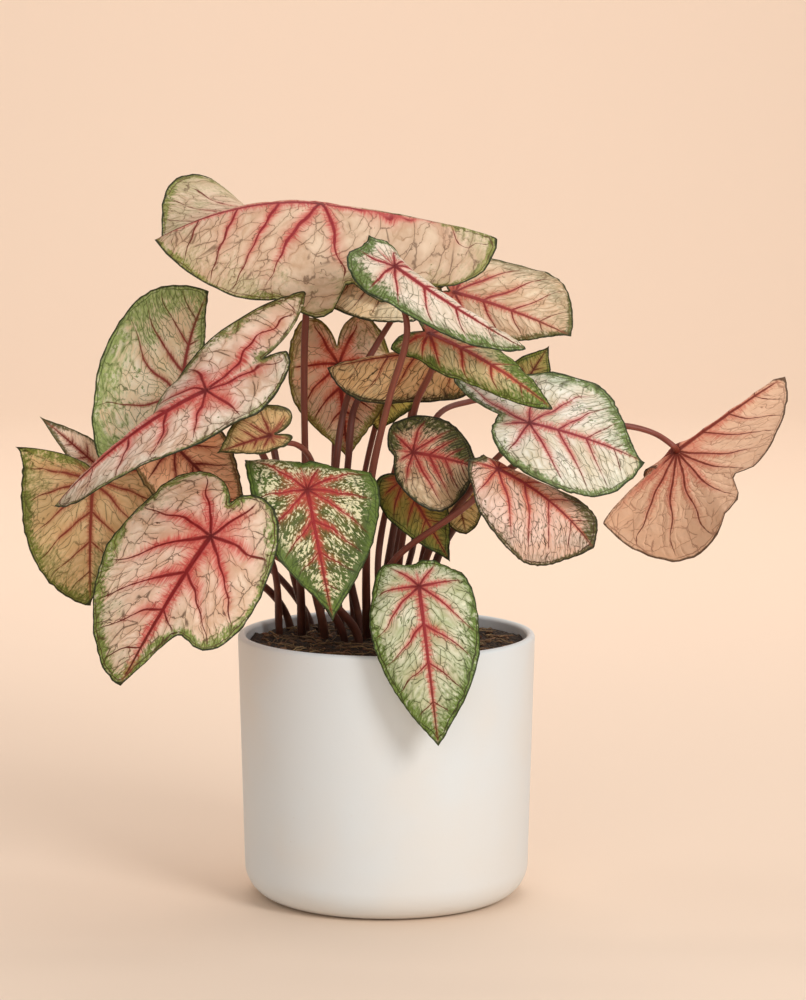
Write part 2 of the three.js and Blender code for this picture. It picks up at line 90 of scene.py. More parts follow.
def bezier(points, count):
    """A cubic Bezier's points at equal steps of its parameter, without the last one."""
    t = np.linspace(0, 1, count + 1)[:-1, None]
    p = np.array(points, float)
    return (1 - t) ** 3 * p[0] + 3 * t * (1 - t) ** 2 * p[1] + 3 * t * t * (1 - t) * p[2] + t**3 * p[3]


def ripple(x, y, seed, length, layers):
    """Soft noise from -1 to 1: the mean of products of two sines in turned directions.

    Each layer's waves are 1.9 times shorter than the last one's, and the n-th counts 1/n.
    """
    finer, crosswise = 1.9, 1.3
    chance = np.random.default_rng(seed)
    total = np.zeros(np.broadcast(x, y).shape)
    for k in range(layers):
        way = chance.uniform(0, 2 * math.pi, 2)
        start = chance.uniform(0, 2 * math.pi, 2)
        step = 2 * math.pi / (length / finer**k)
        along = (x * math.cos(way[0]) + y * math.sin(way[0])) * step
        across = (x * math.cos(way[1]) + y * math.sin(way[1])) * step * crosswise
        total += np.sin(along + start[0]) * np.cos(across + start[1]) / (k + 1)
    return total / sum(1 / (k + 1) for k in range(layers))


# ---- one blade ----


class Blade:
    """One leaf blade and its stalk.

    hub is where the stalk meets the blade, tip the point of the blade, face the way the upper side
    looks. Flat coordinates are a along the midrib, + to the tip, and b across it, + on the right.
    foot is where the stalk stands in the soil, and by the points that it passes. wide is the half
    width, lobe how far a lobe reaches back, gap its end's distance from the midrib by width, sinus
    how far back the notch ends, belly the widest place by length, and point how blunt the tip is.
    A dent is (heading, depth, spread) of a place where the edge draws in. droop, back and sway bend
    the midrib down towards the tip, down behind the hub and sideways; fold is the sharp bend at the
    midrib and curl the even bend from midrib to edge. Pairs are (left, right), and three numbers
    the values at the tip, the hub and the lobes. fan is how many ribs swing back into a lobe.
    """

    def __init__(
        self, name, hub, tip, face, foot, by, wide, lobe, gap=0.5, sinus=None, belly=0.12, point=0.16,
        dents=(), droop=0, back=0, sway=(0, 0), fold=(0, 0), curl=(0, 0), fan=2,
    ):
        self.name = name
        self.hub = np.array(hub, float)
        chord = np.array(tip, float) - self.hub
        reach = np.linalg.norm(chord)
        self.along = chord / reach
        up = np.array(face, float)
        up -= self.along * (up @ self.along)
        self.up = up / np.linalg.norm(up)
        self.across = np.cross(self.up, self.along)
        self.droop, self.back = math.radians(droop), math.radians(back)
        self.sway = np.radians(sway)
        self.length = reach / (np.sinc(self.droop / 2 / math.pi) * np.sinc(self.sway[0] / 2 / math.pi))
        self.wide, self.lobe = pair(wide), pair(lobe)
        self.gap = pair(gap) * self.wide
        self.sinus = 0.35 * self.lobe.min() if sinus is None else sinus
        self.belly, self.point = pair(belly), pair(point)
        self.dents, self.fan = dents, fan
        self.fold = [triple(v) for v in fold]
        self.curl = [triple(v) for v in curl]
        self.foot, self.by = foot, by
        self.seed = sum(ord(letter) * (k + 1) for k, letter in enumerate(name))

    def half_edge(self, side, counts):
        """Half of the flat edge, from the tip round the lobe to the notch: three cubic curves.

        The curves meet at the belly and at the lobe's end, and their inner points lie a full or a
        slack share of the way towards the corner between the ends.
        """
        full, slack = 0.55, 0.45
        wide, lobe, gap, point = self.wide[side], self.lobe[side], self.gap[side], self.point[side]
        length, sinus = self.length, self.sinus
        belly = self.belly[side] * length
        tip_pull, belly_pull = length * (0.8 + 0.15 * point), belly + slack * (length - belly)
        front = ((length, 0), (tip_pull, wide * point), (belly_pull, wide), (belly, wide))
        side_pull, end_pull = belly - full * (belly + lobe), gap + full * (wide - gap)
        round_lobe = ((belly, wide), (side_pull, wide), (-lobe, end_pull), (-lobe, gap))
        notch_pull = -sinus - slack * (lobe - sinus)
        notch = ((-lobe, gap), (-lobe, slack * gap), (notch_pull, 0.1 * gap), (-sinus, 0))
        parts = [bezier(p, n) for p, n in zip((front, round_lobe, notch), counts)]
        return np.concatenate(parts + [np.array([[-sinus, 0.0]])])

    def edge(self, counts):
        """The whole flat edge: right side from the tip, then the left side back; dents pull it in."""
        left = self.half_edge(0, counts)[1:-1][::-1] * (1, -1)
        ring = np.concatenate([self.half_edge(1, counts), left])
        way = np.degrees(np.arctan2(ring[:, 1], ring[:, 0]))
        for at, depth, spread in self.dents:
            off = (way - at + 180) % 360 - 180
            ring = ring * (1 + depth * np.exp(-((off / spread) ** 2)))[:, None]
        return ring

    def place(self, a, b, c):
        """Flat points put in their bent place, lifted by c off the middle surface.

        The midrib is the integral of a heading whose pitch falls evenly by droop and whose yaw
        changes by sway; each side then turns off the midrib by fold*(1-exp(-b/FOLD_REACH)) +
        curl*b/width, and the fold fades out near the hub.
        """
        a, b, c = (grid[..., None] for grid in np.broadcast_arrays(a, b, c))
        longest = self.lobe.max()
        left = b < 0
        wide = np.where(left, *self.wide)

        def pitch(x):
            fallen = np.where(x >= 0, self.droop * x / self.length, self.back * x / longest)
            return self.droop / 2 - fallen

        def yaw(x):
            behind = self.sway[0] / 2 + self.sway[1] * np.minimum(1, -x / longest)
            return np.where(x >= 0, self.sway[0] / 2 - self.sway[0] * x / self.length, behind)

        def between(stations):
            sides = []
            for at_tip, at_hub, at_lobe in stations:
                end = np.where(a >= 0, at_tip, at_lobe)
                sides.append(at_hub + (end - at_hub) * share)
            return np.where(left, *sides)

        def bend(x):
            return fold * (1 - np.exp(-x / FOLD_REACH)) + curl * x / wide

        def summed(way, steps):
            return way * steps.mean(-1, keepdims=True)

        stops = a * MIDPOINTS
        forward = summed(a, np.cos(pitch(stops)) * np.cos(yaw(stops)))
        sideways = summed(a, np.cos(pitch(stops)) * np.sin(yaw(stops)))
        lift = summed(a, np.sin(pitch(stops)))
        tilt, turn = pitch(a), yaw(a)
        heading = np.cos(turn) * self.along + np.sin(turn) * self.across
        out = np.cos(turn) * self.across - np.sin(turn) * self.along
        normal = np.cos(tilt) * self.up - np.sin(tilt) * heading

        share = np.clip(np.where(a >= 0, a / self.length, -a / longest), 0, 1)
        fold = between(self.fold) * (1 - np.exp(-(a * a + b * b) / FLAT_REACH**2))
        curl = between(self.curl)
        reach, sign = np.abs(b), np.where(left, -1.0, 1.0)
        steps, last = bend(reach * MIDPOINTS), bend(reach)
        skin = np.cos(last) * normal - np.sin(last) * sign * out
        midrib = self.hub + forward * self.along + sideways * self.across + lift * self.up
        side = summed(reach, np.cos(steps)) * sign * out
        return midrib + side + summed(reach, np.sin(steps)) * normal + c * skin

    def ribs(self, a, b):
        """The run of the main veins as a smooth field.

        phase is a whole number on a vein: 0 starts at the hub, 1, 2... further up the midrib and
        -1, -2... swing back into the lobe. spacing times the distance in phase is the distance to
        the vein in millimetres, and run is the way along it from where it starts.
        """
        left = b < 0
        wide = np.where(left, *self.wide)
        reach = np.abs(b)
        bent = a - RIB_BEND * b * b / wide
        start = bent - reach / math.tan(RIB_ANGLE)
        step = max(RIB_GAP, RIB_GAP_SHARE * self.length)
        lobe_way = np.where(left, *np.arctan2(self.gap, -self.lobe))
        swing = np.maximum(MIN_SWING, lobe_way - RIB_ANGLE) / self.fan
        back = -(np.arctan2(reach, bent) - RIB_ANGLE) / swing
        phase = np.where(start >= 0, start / step, back)
        spacing = np.where(start >= 0, step * math.sin(RIB_ANGLE), swing * np.hypot(bent, b))
        run = np.where(start >= 0, reach / math.sin(RIB_ANGLE), np.hypot(bent, b))
        left_shift = 90
        drift = 0.13 * ripple(a + left_shift * left, b, self.seed, 55, 2) * np.clip(run / 12, 0, 1)
        return phase + drift, spacing, run

    def surface(self):
        """The blade's grid as (a, b, height), the share of the way out, and what its finish reads.

        Ring after ring, the flat edge is drawn in to share s of its distance from the hub. Its
        height is the edge's slow waves, length*WAVE_SHARE * s**3 * sin(WAVE_COUNT*heading), plus
        the pillow between two veins, PILLOW * (1 - exp(-(off/PILLOW_REACH)**2)) at off from the
        nearest one, plus soft noise that grows with s: a crimp all over, and a frill and a
        flutter at the edge. The pillow is clear of the midrib, the hub and the edge. A wobble of
        up to 0.8 mm moves the edge itself in and out.
        """
        large = self.length > LARGE_BLADE
        rings = 36 if large else 20
        rim = self.edge((28, 18, 12) if large else (16, 10, 8))
        share = np.concatenate([(np.arange(1, rings) / rings) ** 0.9, [0.992, 1.0]])[:, None]
        a, b = share * rim[:, 0], share * rim[:, 1]
        way, rim_reach = np.arctan2(rim[:, 1], rim[:, 0]), np.hypot(*rim.T)
        reach = np.hypot(a, b)
        phase, spacing, run = self.ribs(a, b)
        gaps = np.hypot(a[..., None] - rim[:, 0], b[..., None] - rim[:, 1]).min(-1)
        rim_gap = np.minimum(gaps, (1 - share) * rim_reach)

        def noise(x, y, shift, height, length, layers):
            return height * ripple(x, y, self.seed + shift, length, layers)

        wave = WAVE_SHARE * self.length * share**3 * np.sin(WAVE_COUNT * way)
        off = np.abs(phase - np.round(phase)) * spacing
        clear = np.clip(np.abs(b) / 6, 0, 1) * np.clip(reach / 14, 0, 1) * np.clip(rim_gap / 8, 0, 1)
        pillow = PILLOW * (1 - np.exp(-((off / PILLOW_REACH) ** 2))) * clear
        crimp = noise(a, b, 5, height=0.55, length=17, layers=3) * share**2 * np.clip(reach / 20, 0, 1)
        frill = noise(*rim.T, 9, height=0.7, length=26, layers=2) * share**6
        flutter = noise(*rim.T, 7, height=0.5, length=10, layers=2) * share**8
        height = wave + pillow + crimp + frill + flutter
        wobble = 1 + noise(*rim.T, 3, height=0.8, length=11, layers=3) / rim_reach * share**8
        ribs = np.stack([phase, spacing, run], -1).reshape(-1, 3)
        rim = np.stack([rim_gap, share + 0 * a, reach], -1).reshape(-1, 3)
        return a * wobble, b * wobble, height, share, ribs, rim


BLADES = [
    Blade("crown", (-39, -20, 421), (-136, -35, 400), (0, -0.3, 0.95),
        droop=39, back=6, wide=(92, 70), lobe=(100, 110), gap=(0.35, 0.1), sinus=30, belly=(0.15, -0.18),
        point=(1.04, 0.83), dents=((114, -0.33, 12), (142, -0.2, 14), (62, -0.09, 16)),
        fold=((-48, -24, -58), (-52, -56, -43)), curl=((140, -37, -75), (-26, -19, -39)), foot=(-38, 12),
        by=((-47, -2, 206), (-49, -2, 270), (-48, -17, 353))),
    Blade("left_star", (-105, -70, 315), (-191, -96, 251), (-0.1, -0.75, 0.6),
        droop=30, back=-24, sway=(-9, 4), wide=(30, 33), lobe=(84, 53), gap=(0.65, 0.2), sinus=40,
        point=(0.3, 1), fold=((-143, -35, 52), (40, 0, -5)), curl=((-65, 20, 71), (0, 10, 25)),
        foot=(-52, 24), by=((-54, 8, 204), (-73, -36, 273), (-88, -52, 297))),
    Blade("left_back", (-124, 14, 303), (-108, 30, 366), (-0.3, -0.9, 0.3),
        droop=-8, back=-5, sway=(30, -5), wide=(14, 57), lobe=(20, 58), sinus=6, belly=(0.07, 0),
        point=(0.2, 0.87), fold=((-5, 3, 0), (0, -3, 0)), curl=((25, 10, 0), (-4, 5, 30)), foot=(-50, 42),
        by=((-59, 28, 201), (-71, 38, 277), (-81, 46, 296), (-105, 44, 300))),
    Blade("left_slim", (-174, 30, 257), (-211, 26, 290), (-0.2, -0.8, 0.5),
        droop=10, wide=11, lobe=10, fold=(10, 10), curl=(15, 15), foot=(-48, 58),
        by=((-77, 50, 198), (-134, 50, 236), (-161, 48, 250))),
    Blade("far_left", (-175, -22, 256), (-176, -38, 183), (-0.3, -0.95, 0.1),
        droop=15, wide=(44, 52), lobe=(20, 22), gap=(1.12, 0.8), belly=(-0.02, -0.1), point=(0.75, 0),
        fold=(5, -28), curl=(10, -8), foot=(-60, 44),
        by=((-71, 30, 181), (-114, 16, 212), (-157, -6, 242))),
    Blade("front_left", (-101, -104, 234), (-154, -128, 147), (-0.1, -0.85, 0.5),
        droop=25, sway=(0, 22), wide=(52, 45), lobe=(44, 31), gap=(0.5, 0.35), sinus=24, belly=(0.2, 0.3),
        point=(0.6, 0.15), dents=((14, -0.24, 11),), curl=((-15, -15, -30), (-25, -20, 10)),
        foot=(-17, -8), by=((-27, -20, 177), (-43, -35, 191), (-65, -76, 219))),
    Blade("front_mid", (-46, -80, 258), (-31, -105, 185), (0.1, -0.85, 0.5),
        droop=21, back=60, sway=(-3, -9), wide=(34, 43), lobe=(34, 19), gap=(0.9, 0.85), sinus=22,
        belly=(0.1, 0.03), point=(0.05, 0.22), fold=((3, 23, -4), (-2, -2, -2)),
        curl=((-15, -23, -7), (-4, -16, -10)), foot=(-26, 2), by=((-40, -15, 189), (-44, -45, 230))),
    Blade("over_rim", (19, -92, 203), (30, -114, 113), (0, -0.95, 0.3),
        droop=25, back=40, wide=(31, 33), lobe=(20, 17), gap=(0.5, 0.35), sinus=16, belly=0.25, point=0.3,
        curl=((-10, -20, -20), (-10, -20, -20)), foot=(12, -6), by=((11, -30, 186), (15, -60, 205))),
    Blade("right_pink", (65, -70, 269), (121, -72, 223), (0.1, -0.8, 0.6),
        droop=13, back=-8, sway=(26, 17), wide=(39, 16), lobe=(18, 10), gap=(0.05, 0.45), sinus=19,
        belly=(0.48, 0.72), point=(0.9, 0.7), fold=((-21, -4, -10), (22, -50, -7)),
        curl=((-10, 5, -10), (-22, -62, -11)), foot=(-6, -12),
        by=((-1, -30, 198), (7, -42, 214), (51, -62, 250))),
    Blade("right_dark", (16, -46, 276), (54, -55, 268), (0, -0.9, 0.45),
        droop=3, back=-3, sway=(9, 10), wide=(33, 25), lobe=(11, 16), gap=(0.25, 0.5), sinus=15,
        belly=(0.43, 0.25), point=(0.8, 0.3), fold=((-40, 19, 8), (1, -6, -19)),
        curl=((15, 4, 0), (-26, 10, 31)), foot=(-3, 0), by=((-5, -12, 207), (1, -8, 243), (9, -14, 273))),
    Blade("low_dark", (10, -34, 258), (38, -42, 210), (0, -0.95, 0.3),
        droop=10, wide=(20, 20), lobe=9, fold=(-5, -10), curl=((-10, -20, -20), (-10, -30, -20)),
        foot=(6, 12), by=((8, -4, 206), (12, -16, 238))),
    Blade("low_small", (39, -15, 261), (48, -15, 223), (0, -0.95, 0.3),
        droop=10, wide=(14, 16), lobe=10, gap=0.6, point=0.8, foot=(16, 34),
        by=((23, 20, 209), (32, 4, 242))),
    Blade("right_white", (84, -60, 295), (151, -70, 273), (0.1, -0.75, 0.65),
        droop=20, back=-5, sway=(1, -21), wide=(37, 41), lobe=(20, 59), gap=(0.15, 0.3), sinus=20,
        belly=(0.37, 0.33), point=(0.85, 0.03), fold=((-21, 0, 0), (2, 0, -13)),
        curl=((0, -3, 7), (10, -5, -2)), foot=(17, 10),
        by=((25, -16, 212), (50, -32, 252), (67, -48, 275))),
    Blade("upper_white", (5, -82, 388), (80, -92, 341), (0, -0.75, 0.65),
        droop=24, back=9, sway=(-24, -31), wide=(25, 28), lobe=(24, 21), gap=(0.43, 0.6), sinus=29,
        belly=(0.06, 0.2), point=(0.5, 0.6), fold=((11, 4, -23), (-83, -43, -25)),
        curl=((26, -8, -4), (-84, -42, -14)), foot=(-12, 12),
        by=((-12, -20, 208), (-9, -44, 260), (2, -64, 311), (12, -80, 352))),
    Blade("back_right", (42, 49, 364), (113, 38, 338), (0.1, -0.8, 0.6),
        droop=20, wide=(20, 38), lobe=(20, 12), belly=(0.4, 0.6), point=(0.2, 0.7), fold=(-20, 0),
        curl=(-20, -10), foot=(-8, 38), by=((5, 36, 200), (17, 50, 298), (31, 56, 341))),
    Blade("under_crown", (14, -2, 379), (-47, -4, 375), (0, -0.5, 0.85),
        droop=20, wide=(20, 34), lobe=20, point=(0.2, 0.8), fold=(-50, -20), curl=(-30, -20),
        foot=(-28, 22), by=((-32, 10, 204), (-30, -4, 267), (-23, 2, 305), (-6, 12, 335), (9, 10, 360))),
    Blade("back_mid", (-29, 24, 322), (-23, 14, 265), (-0.1, -0.95, 0.2),
        droop=20, wide=(32, 32), lobe=(32, 30), sinus=12, curl=(-10, (-20, -10, -10)), foot=(-30, 44),
        by=((-34, 46, 180), (-32, 44, 261), (-30, 42, 299))),
    Blade("mid_flat", (35, -16, 333), (-35, -26, 324), (0, -0.55, 0.8),
        droop=15, wide=(24, 30), lobe=(18, 28), point=(0.2, 1), fold=(-40, -45), curl=(-30, -20),
        foot=(-16, 30), by=((-24, 22, 202), (-23, 5, 266), (-16, 8, 304), (11, 6, 319))),
    Blade("mid_green", (25, -66, 348), (96, -78, 305), (0.1, -0.6, 0.8),
        droop=25, wide=(19, 22), lobe=(18, 12), gap=(0.9, 0.7), point=(0.6, 0.3), fold=(-30, -10),
        curl=(-50, -20), foot=(-6, 24), by=((1, 14, 203), (11, 4, 260), (18, -34, 305), (27, -52, 328))),
    Blade("back_corner", (82, 44, 303), (100, 52, 331), (0, -0.8, 0.6),
        droop=10, wide=16, lobe=14, curl=(5, 5), foot=(3, 48),
        by=((16, 46, 205), (31, 54, 287), (52, 60, 296), (73, 58, 298))),
    Blade("far_right", (176, 8, 271), (241, 10, 316), (0.35, 0.85, -0.4),
        droop=-4, back=-4, sway=(-3, -3), wide=(40, 72), lobe=(29, 63), gap=(0.45, 0.1), sinus=16,
        belly=(0.07, 0), point=(0.02, 0.47), dents=((70, -0.25, 7),), fan=6,
        fold=((123, 135, 150), (-36, -18, 8)), curl=((-7, -2, -7), (0, -20, 31)), foot=(26, 26),
        by=((31, 16, 204), (54, 10, 240), (78, 4, 263), (111, 2, 282), (141, 2, 287), (162, 4, 282))),
    Blade("left_under", (-124, -47, 280), (-81, -48, 237), (0.2, -0.8, -0.5),
        droop=10, wide=(32, 28), lobe=18, foot=(-66, 30), by=((-70, 14, 203), (-97, -8, 243))),
    Blade("young", (-68, -74, 289), (-98, -82, 280), (0.1, -0.8, 0.5),
        droop=15, wide=(20, 10), lobe=(18, 12), curl=(10, 10), foot=(-40, 33),
        by=((-40, 12, 204), (-42, -18, 259), (-53, -56, 282))),
    Blade("old_olive", (-1, 30, 309), (-5, 34, 280), (0.1, -0.95, 0.2),
        droop=10, wide=22, lobe=16, foot=(-20, 46), by=((-22, 46, 199), (-13, 48, 255), (-3, 46, 298))),
]


# ---- mesh helpers ----


def ring_faces(rows, columns, first=0):
    """Quads between neighbouring rings of a grid whose columns close on themselves."""
    row, column = np.meshgrid(np.arange(rows - 1), np.arange(columns), indexing="ij")
    here, after = row * columns + column, row * columns + (column + 1) % columns
    return first + np.stack([here, here + columns, after + columns, after], -1).reshape(-1, 4)


def fan_faces(centre, ring):
    """Triangles from one vertex to each step of a closed ring."""
    return np.stack([np.full(len(ring), centre), ring, np.roll(ring, -1)], -1)


def capped_faces(rings, sides):
    """The faces of a stack of rings, closed by fans from the two vertices that follow them."""
    column = np.arange(sides)
    start = fan_faces(rings * sides, column[::-1])
    end = fan_faces(rings * sides + 1, column + (rings - 1) * sides)
    return [ring_faces(rings, sides)[:, ::-1], start, end]


def repeated(faces, count, stride):
    """The faces of one body for count bodies, whose vertices start stride after stride."""
    shift = stride * np.arange(count)[:, None, None]
    return [(group + shift).reshape(-1, group.shape[1]) for group in faces]


def make_mesh(name, points, faces, values=None, smooth=True):
    """A mesh object from points in millimetres and a list of face arrays.

    values maps an attribute's name to three numbers for each point.
    """
    mesh = bpy.data.meshes.new(name)
    total = [face for group in faces for face in np.asarray(group).tolist()]
    mesh.from_pydata((np.asarray(points) * MM).tolist(), [], total)
    for key, numbers in (values or {}).items():
        layer = mesh.attributes.new(key, "FLOAT_VECTOR", "POINT")
        layer.data.foreach_set("vector", np.ascontiguousarray(numbers, dtype=np.float32).ravel())
    mesh.polygons.foreach_set("use_smooth", np.full(len(mesh.polygons), smooth))
    mesh.update()
    piece = bpy.data.objects.new(name, mesh)
    bpy.context.scene.collection.objects.link(piece)
    return piece


def settle(piece, nodes, material):
    """What every finished piece is given: its material and its body, and the imported parts it stands for
    are hidden.
    """
    piece.data.materials.append(material)
    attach(piece, "root")
    if nodes:
        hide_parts(*nodes)


def arc(x, z, radius, start, end, count):
    """Points of a circle's arc in the profile's plane, angles in degrees."""
    angle = np.radians(np.linspace(start, end, count + 1))
    return np.stack([x + radius * np.cos(angle), z + radius * np.sin(angle)], -1)


def lathe(profile, sides):
    """A closed turned body: the profile of (radius, height) pairs, from axis to axis, round Z."""
    profile = np.array(profile, float)
    angle = 2 * math.pi * np.arange(sides) / sides
    inner = profile[1:-1]
    x, y = inner[:, :1] * np.cos(angle), inner[:, :1] * np.sin(angle)
    rings = np.stack([x, y, np.broadcast_to(inner[:, 1:], x.shape)], -1)
    ends = [[0, 0, profile[0, 1]], [0, 0, profile[-1, 1]]]
    return np.concatenate([rings.reshape(-1, 3), ends]), capped_faces(len(inner), sides)


def spline(points, count):
    """A smooth curve through the points, sampled at count even parameters.

    It is a centripetal Catmull-Rom curve: from point to point a cubic whose slope at each point
    follows from the chords on both sides, each divided by the square root of its length.
    """
    points = np.array(points, float)
    last = len(points) - 1
    at = np.linspace(0, last, count)
    first = np.minimum(at.astype(int), last - 1)
    w = (at - first)[:, None]
    padded = np.concatenate([[2 * points[0] - points[1]], points, [2 * points[-1] - points[-2]]])
    p = [padded[first + k] for k in range(4)]
    d = [np.maximum(np.linalg.norm(p[k + 1] - p[k], axis=1) ** 0.5, 1e-4)[:, None] for k in range(3)]
    start = (p[1] - p[0]) / d[0] - (p[2] - p[0]) / (d[0] + d[1]) + (p[2] - p[1]) / d[1]
    end = (p[2] - p[1]) / d[1] - (p[3] - p[1]) / (d[1] + d[2]) + (p[3] - p[2]) / d[2]
    start, end = start * d[1], end * d[1]
    cubic = 2 * p[1] - 2 * p[2] + start + end
    square = -3 * p[1] + 3 * p[2] - 2 * start - end
    return p[1] + start * w + square * w**2 + cubic * w**3


def tube(path, radius, sides):
    """Rings of points round a path: at each point a circle in the plane square to the path.

    A circle starts square to the path and to one fixed slanting line, so the rings never flip.
    """
    slant = (0.31, 0.94, 0.12)
    way = np.gradient(path, axis=0)
    way /= np.linalg.norm(way, axis=1)[:, None]
    side = np.cross(way, slant)
    side /= np.linalg.norm(side, axis=1)[:, None]
    top = np.cross(way, side)
    angle = 2 * math.pi * np.arange(sides) / sides
    round_way = np.cos(angle)[:, None, None] * side + np.sin(angle)[:, None, None] * top
    return path[:, None] + np.asarray(radius)[:, None, None] * round_way.transpose(1, 0, 2)


def tube_piece(name, rings, values):
    """A closed tube from its rings, capped by one vertex at each end."""

    def capped(grid):
        return np.concatenate([grid.reshape(-1, 3), grid[:1].mean(1), grid[-1:].mean(1)])

    values = {key: capped(grid) for key, grid in values.items()}
    return make_mesh(name, capped(rings), capped_faces(*rings.shape[:2]), values)


# ---- material helpers ----


def math_node(kind, turned=False):
    """A method that adds a Math node of this kind to a Number and the other value, or turned."""

    def method(self, *others):
        values = (*others, self) if turned else (self, *others)
        return self.finish.node("ShaderNodeMath", {"operation": kind}, dict(enumerate(values)))

    return method


class Number:
    """A number on a node's output. Arithmetic on it adds the Math nodes that work it out."""

    def __init__(self, finish, socket):
        self.finish, self.socket = finish, socket

    __add__ = __radd__ = math_node("ADD")
    __mul__ = __rmul__ = math_node("MULTIPLY")
    __sub__, __rsub__ = math_node("SUBTRACT"), math_node("SUBTRACT", turned=True)
    __truediv__ = math_node("DIVIDE")
    __abs__ = math_node("ABSOLUTE")
    round = math_node("ROUND")
    least = math_node("MINIMUM")
    most = math_node("MAXIMUM")

    def swing(self, size):
        """A noise from 0 to 1 made to swing round zero, by half of size each way."""
        return (self - 0.5) * size

    def step(self, low, high, start, end):
        """start below low, end above high, with soft ends."""
        inputs = {0: self, 1: low, 2: high, 3: start, 4: end}
        return self.finish.node("ShaderNodeMapRange", {"interpolation_type": "SMOOTHSTEP"}, inputs)

    def rise(self, low, high):
        return self.step(low, high, 0.0, 1.0)

    def fall(self, low, high):
        return self.step(low, high, 1.0, 0.0)


class Finish:
    """A material and its nodes. A colour is a hex number as in 0xaabbcc, or a node's output."""

    def __init__(self, name):
        self.material = bpy.data.materials.new(name)
        self.material.use_nodes = True
        self.nodes = self.material.node_tree.nodes
        self.links = self.material.node_tree.links
        self.shader = self.nodes["Principled BSDF"]

    def set(self, node, key, value):
        socket = node.inputs[key]
        if isinstance(value, Number):
            self.links.new(value.socket, socket)
        elif socket.type == "RGBA":
            socket.default_value = (*(linear(value) if isinstance(value, int) else value), 1.0)
        else:
            socket.default_value = value

    def node(self, kind, settings, inputs, output=0):
        """Adds a node: its settings first, then values or links on its sockets."""
        node = self.nodes.new(kind)
        for key, value in settings.items():
            setattr(node, key, value)
        for key, value in inputs.items():
            self.set(node, key, value)
        return Number(self, node.outputs[output])

    def feed(self, **values):
        """Puts values or links on the closing shader's sockets, named with _ for a space."""
        for key, value in values.items():
            self.set(self.shader, key.replace("_", " "), value)

    def parts(self, vector):
        """The three numbers of a vector."""
        return [self.node("ShaderNodeSeparateXYZ", {}, {0: vector}, k) for k in range(3)]

    def attribute(self, name):
        """The three numbers of a point attribute."""
        return self.parts(self.node("ShaderNodeAttribute", {"attribute_name": name}, {}, "Vector"))

    def vector(self, x, y, z):
        return self.node("ShaderNodeCombineXYZ", {}, {0: x, 1: y, 2: z})

    def place(self):
        return self.node("ShaderNodeTexCoord", {}, {}, "Object")

    def noise(self, where, scale, detail, rough=0.55):
        inputs = {"Vector": where, "Scale": scale, "Detail": detail, "Roughness": rough}
        return self.node("ShaderNodeTexNoise", {"noise_dimensions": "3D"}, inputs, "Fac")

    def cells(self, where, scale, feature="F1"):
        """The distance to the nearest random point, or to the border between two points' cells."""
        settings = {"voronoi_dimensions": "3D", "feature": feature}
        inputs = {"Vector": where, "Scale": scale}
        return self.node("ShaderNodeTexVoronoi", settings, inputs, "Distance")

    def mix(self, share, start, end):
        """The colour start with share of the colour end over it."""
        settings = {"data_type": "RGBA", "blend_type": "MIX", "clamp_factor": True}
        return self.node("ShaderNodeMix", settings, {0: share, 6: start, 7: end}, 2)

    def paint(self, colour, *coats):
        """The colour with each coat, a share and a colour, laid over what is there in turn."""
        for share, coat in coats:
            colour = self.mix(share, colour, coat)
        return colour

    def bump(self, height, distance, strength):
        inputs = {"Strength": strength, "Distance": distance, "Height": height}
        return self.node("ShaderNodeBump", {}, inputs)


def linear(colour):
    """The linear red, green and blue of a hex colour."""
    parts = np.array([colour >> 16 & 255, colour >> 8 & 255, colour & 255]) / 255
    return np.where(parts <= 0.04045, parts / 12.92, ((parts + 0.055) / 1.055) ** 2.4).tolist()


# ---- how each blade is coloured ----
# skin: the darker and the paler colour between the veins. glow: the flush beside the veins, its
# width and its radius round the hub. veins: the main veins' colour and width. net: the fine veins'
# colour, strength and number from rib to rib. flecks: the short strokes' colour, the share they
# cover and how far from the edge they begin. margin: the rim's colour, its width and how far it
# spreads inwards in patches. hem: the line at the very edge. back: the underside. A pair is
# (left, right).

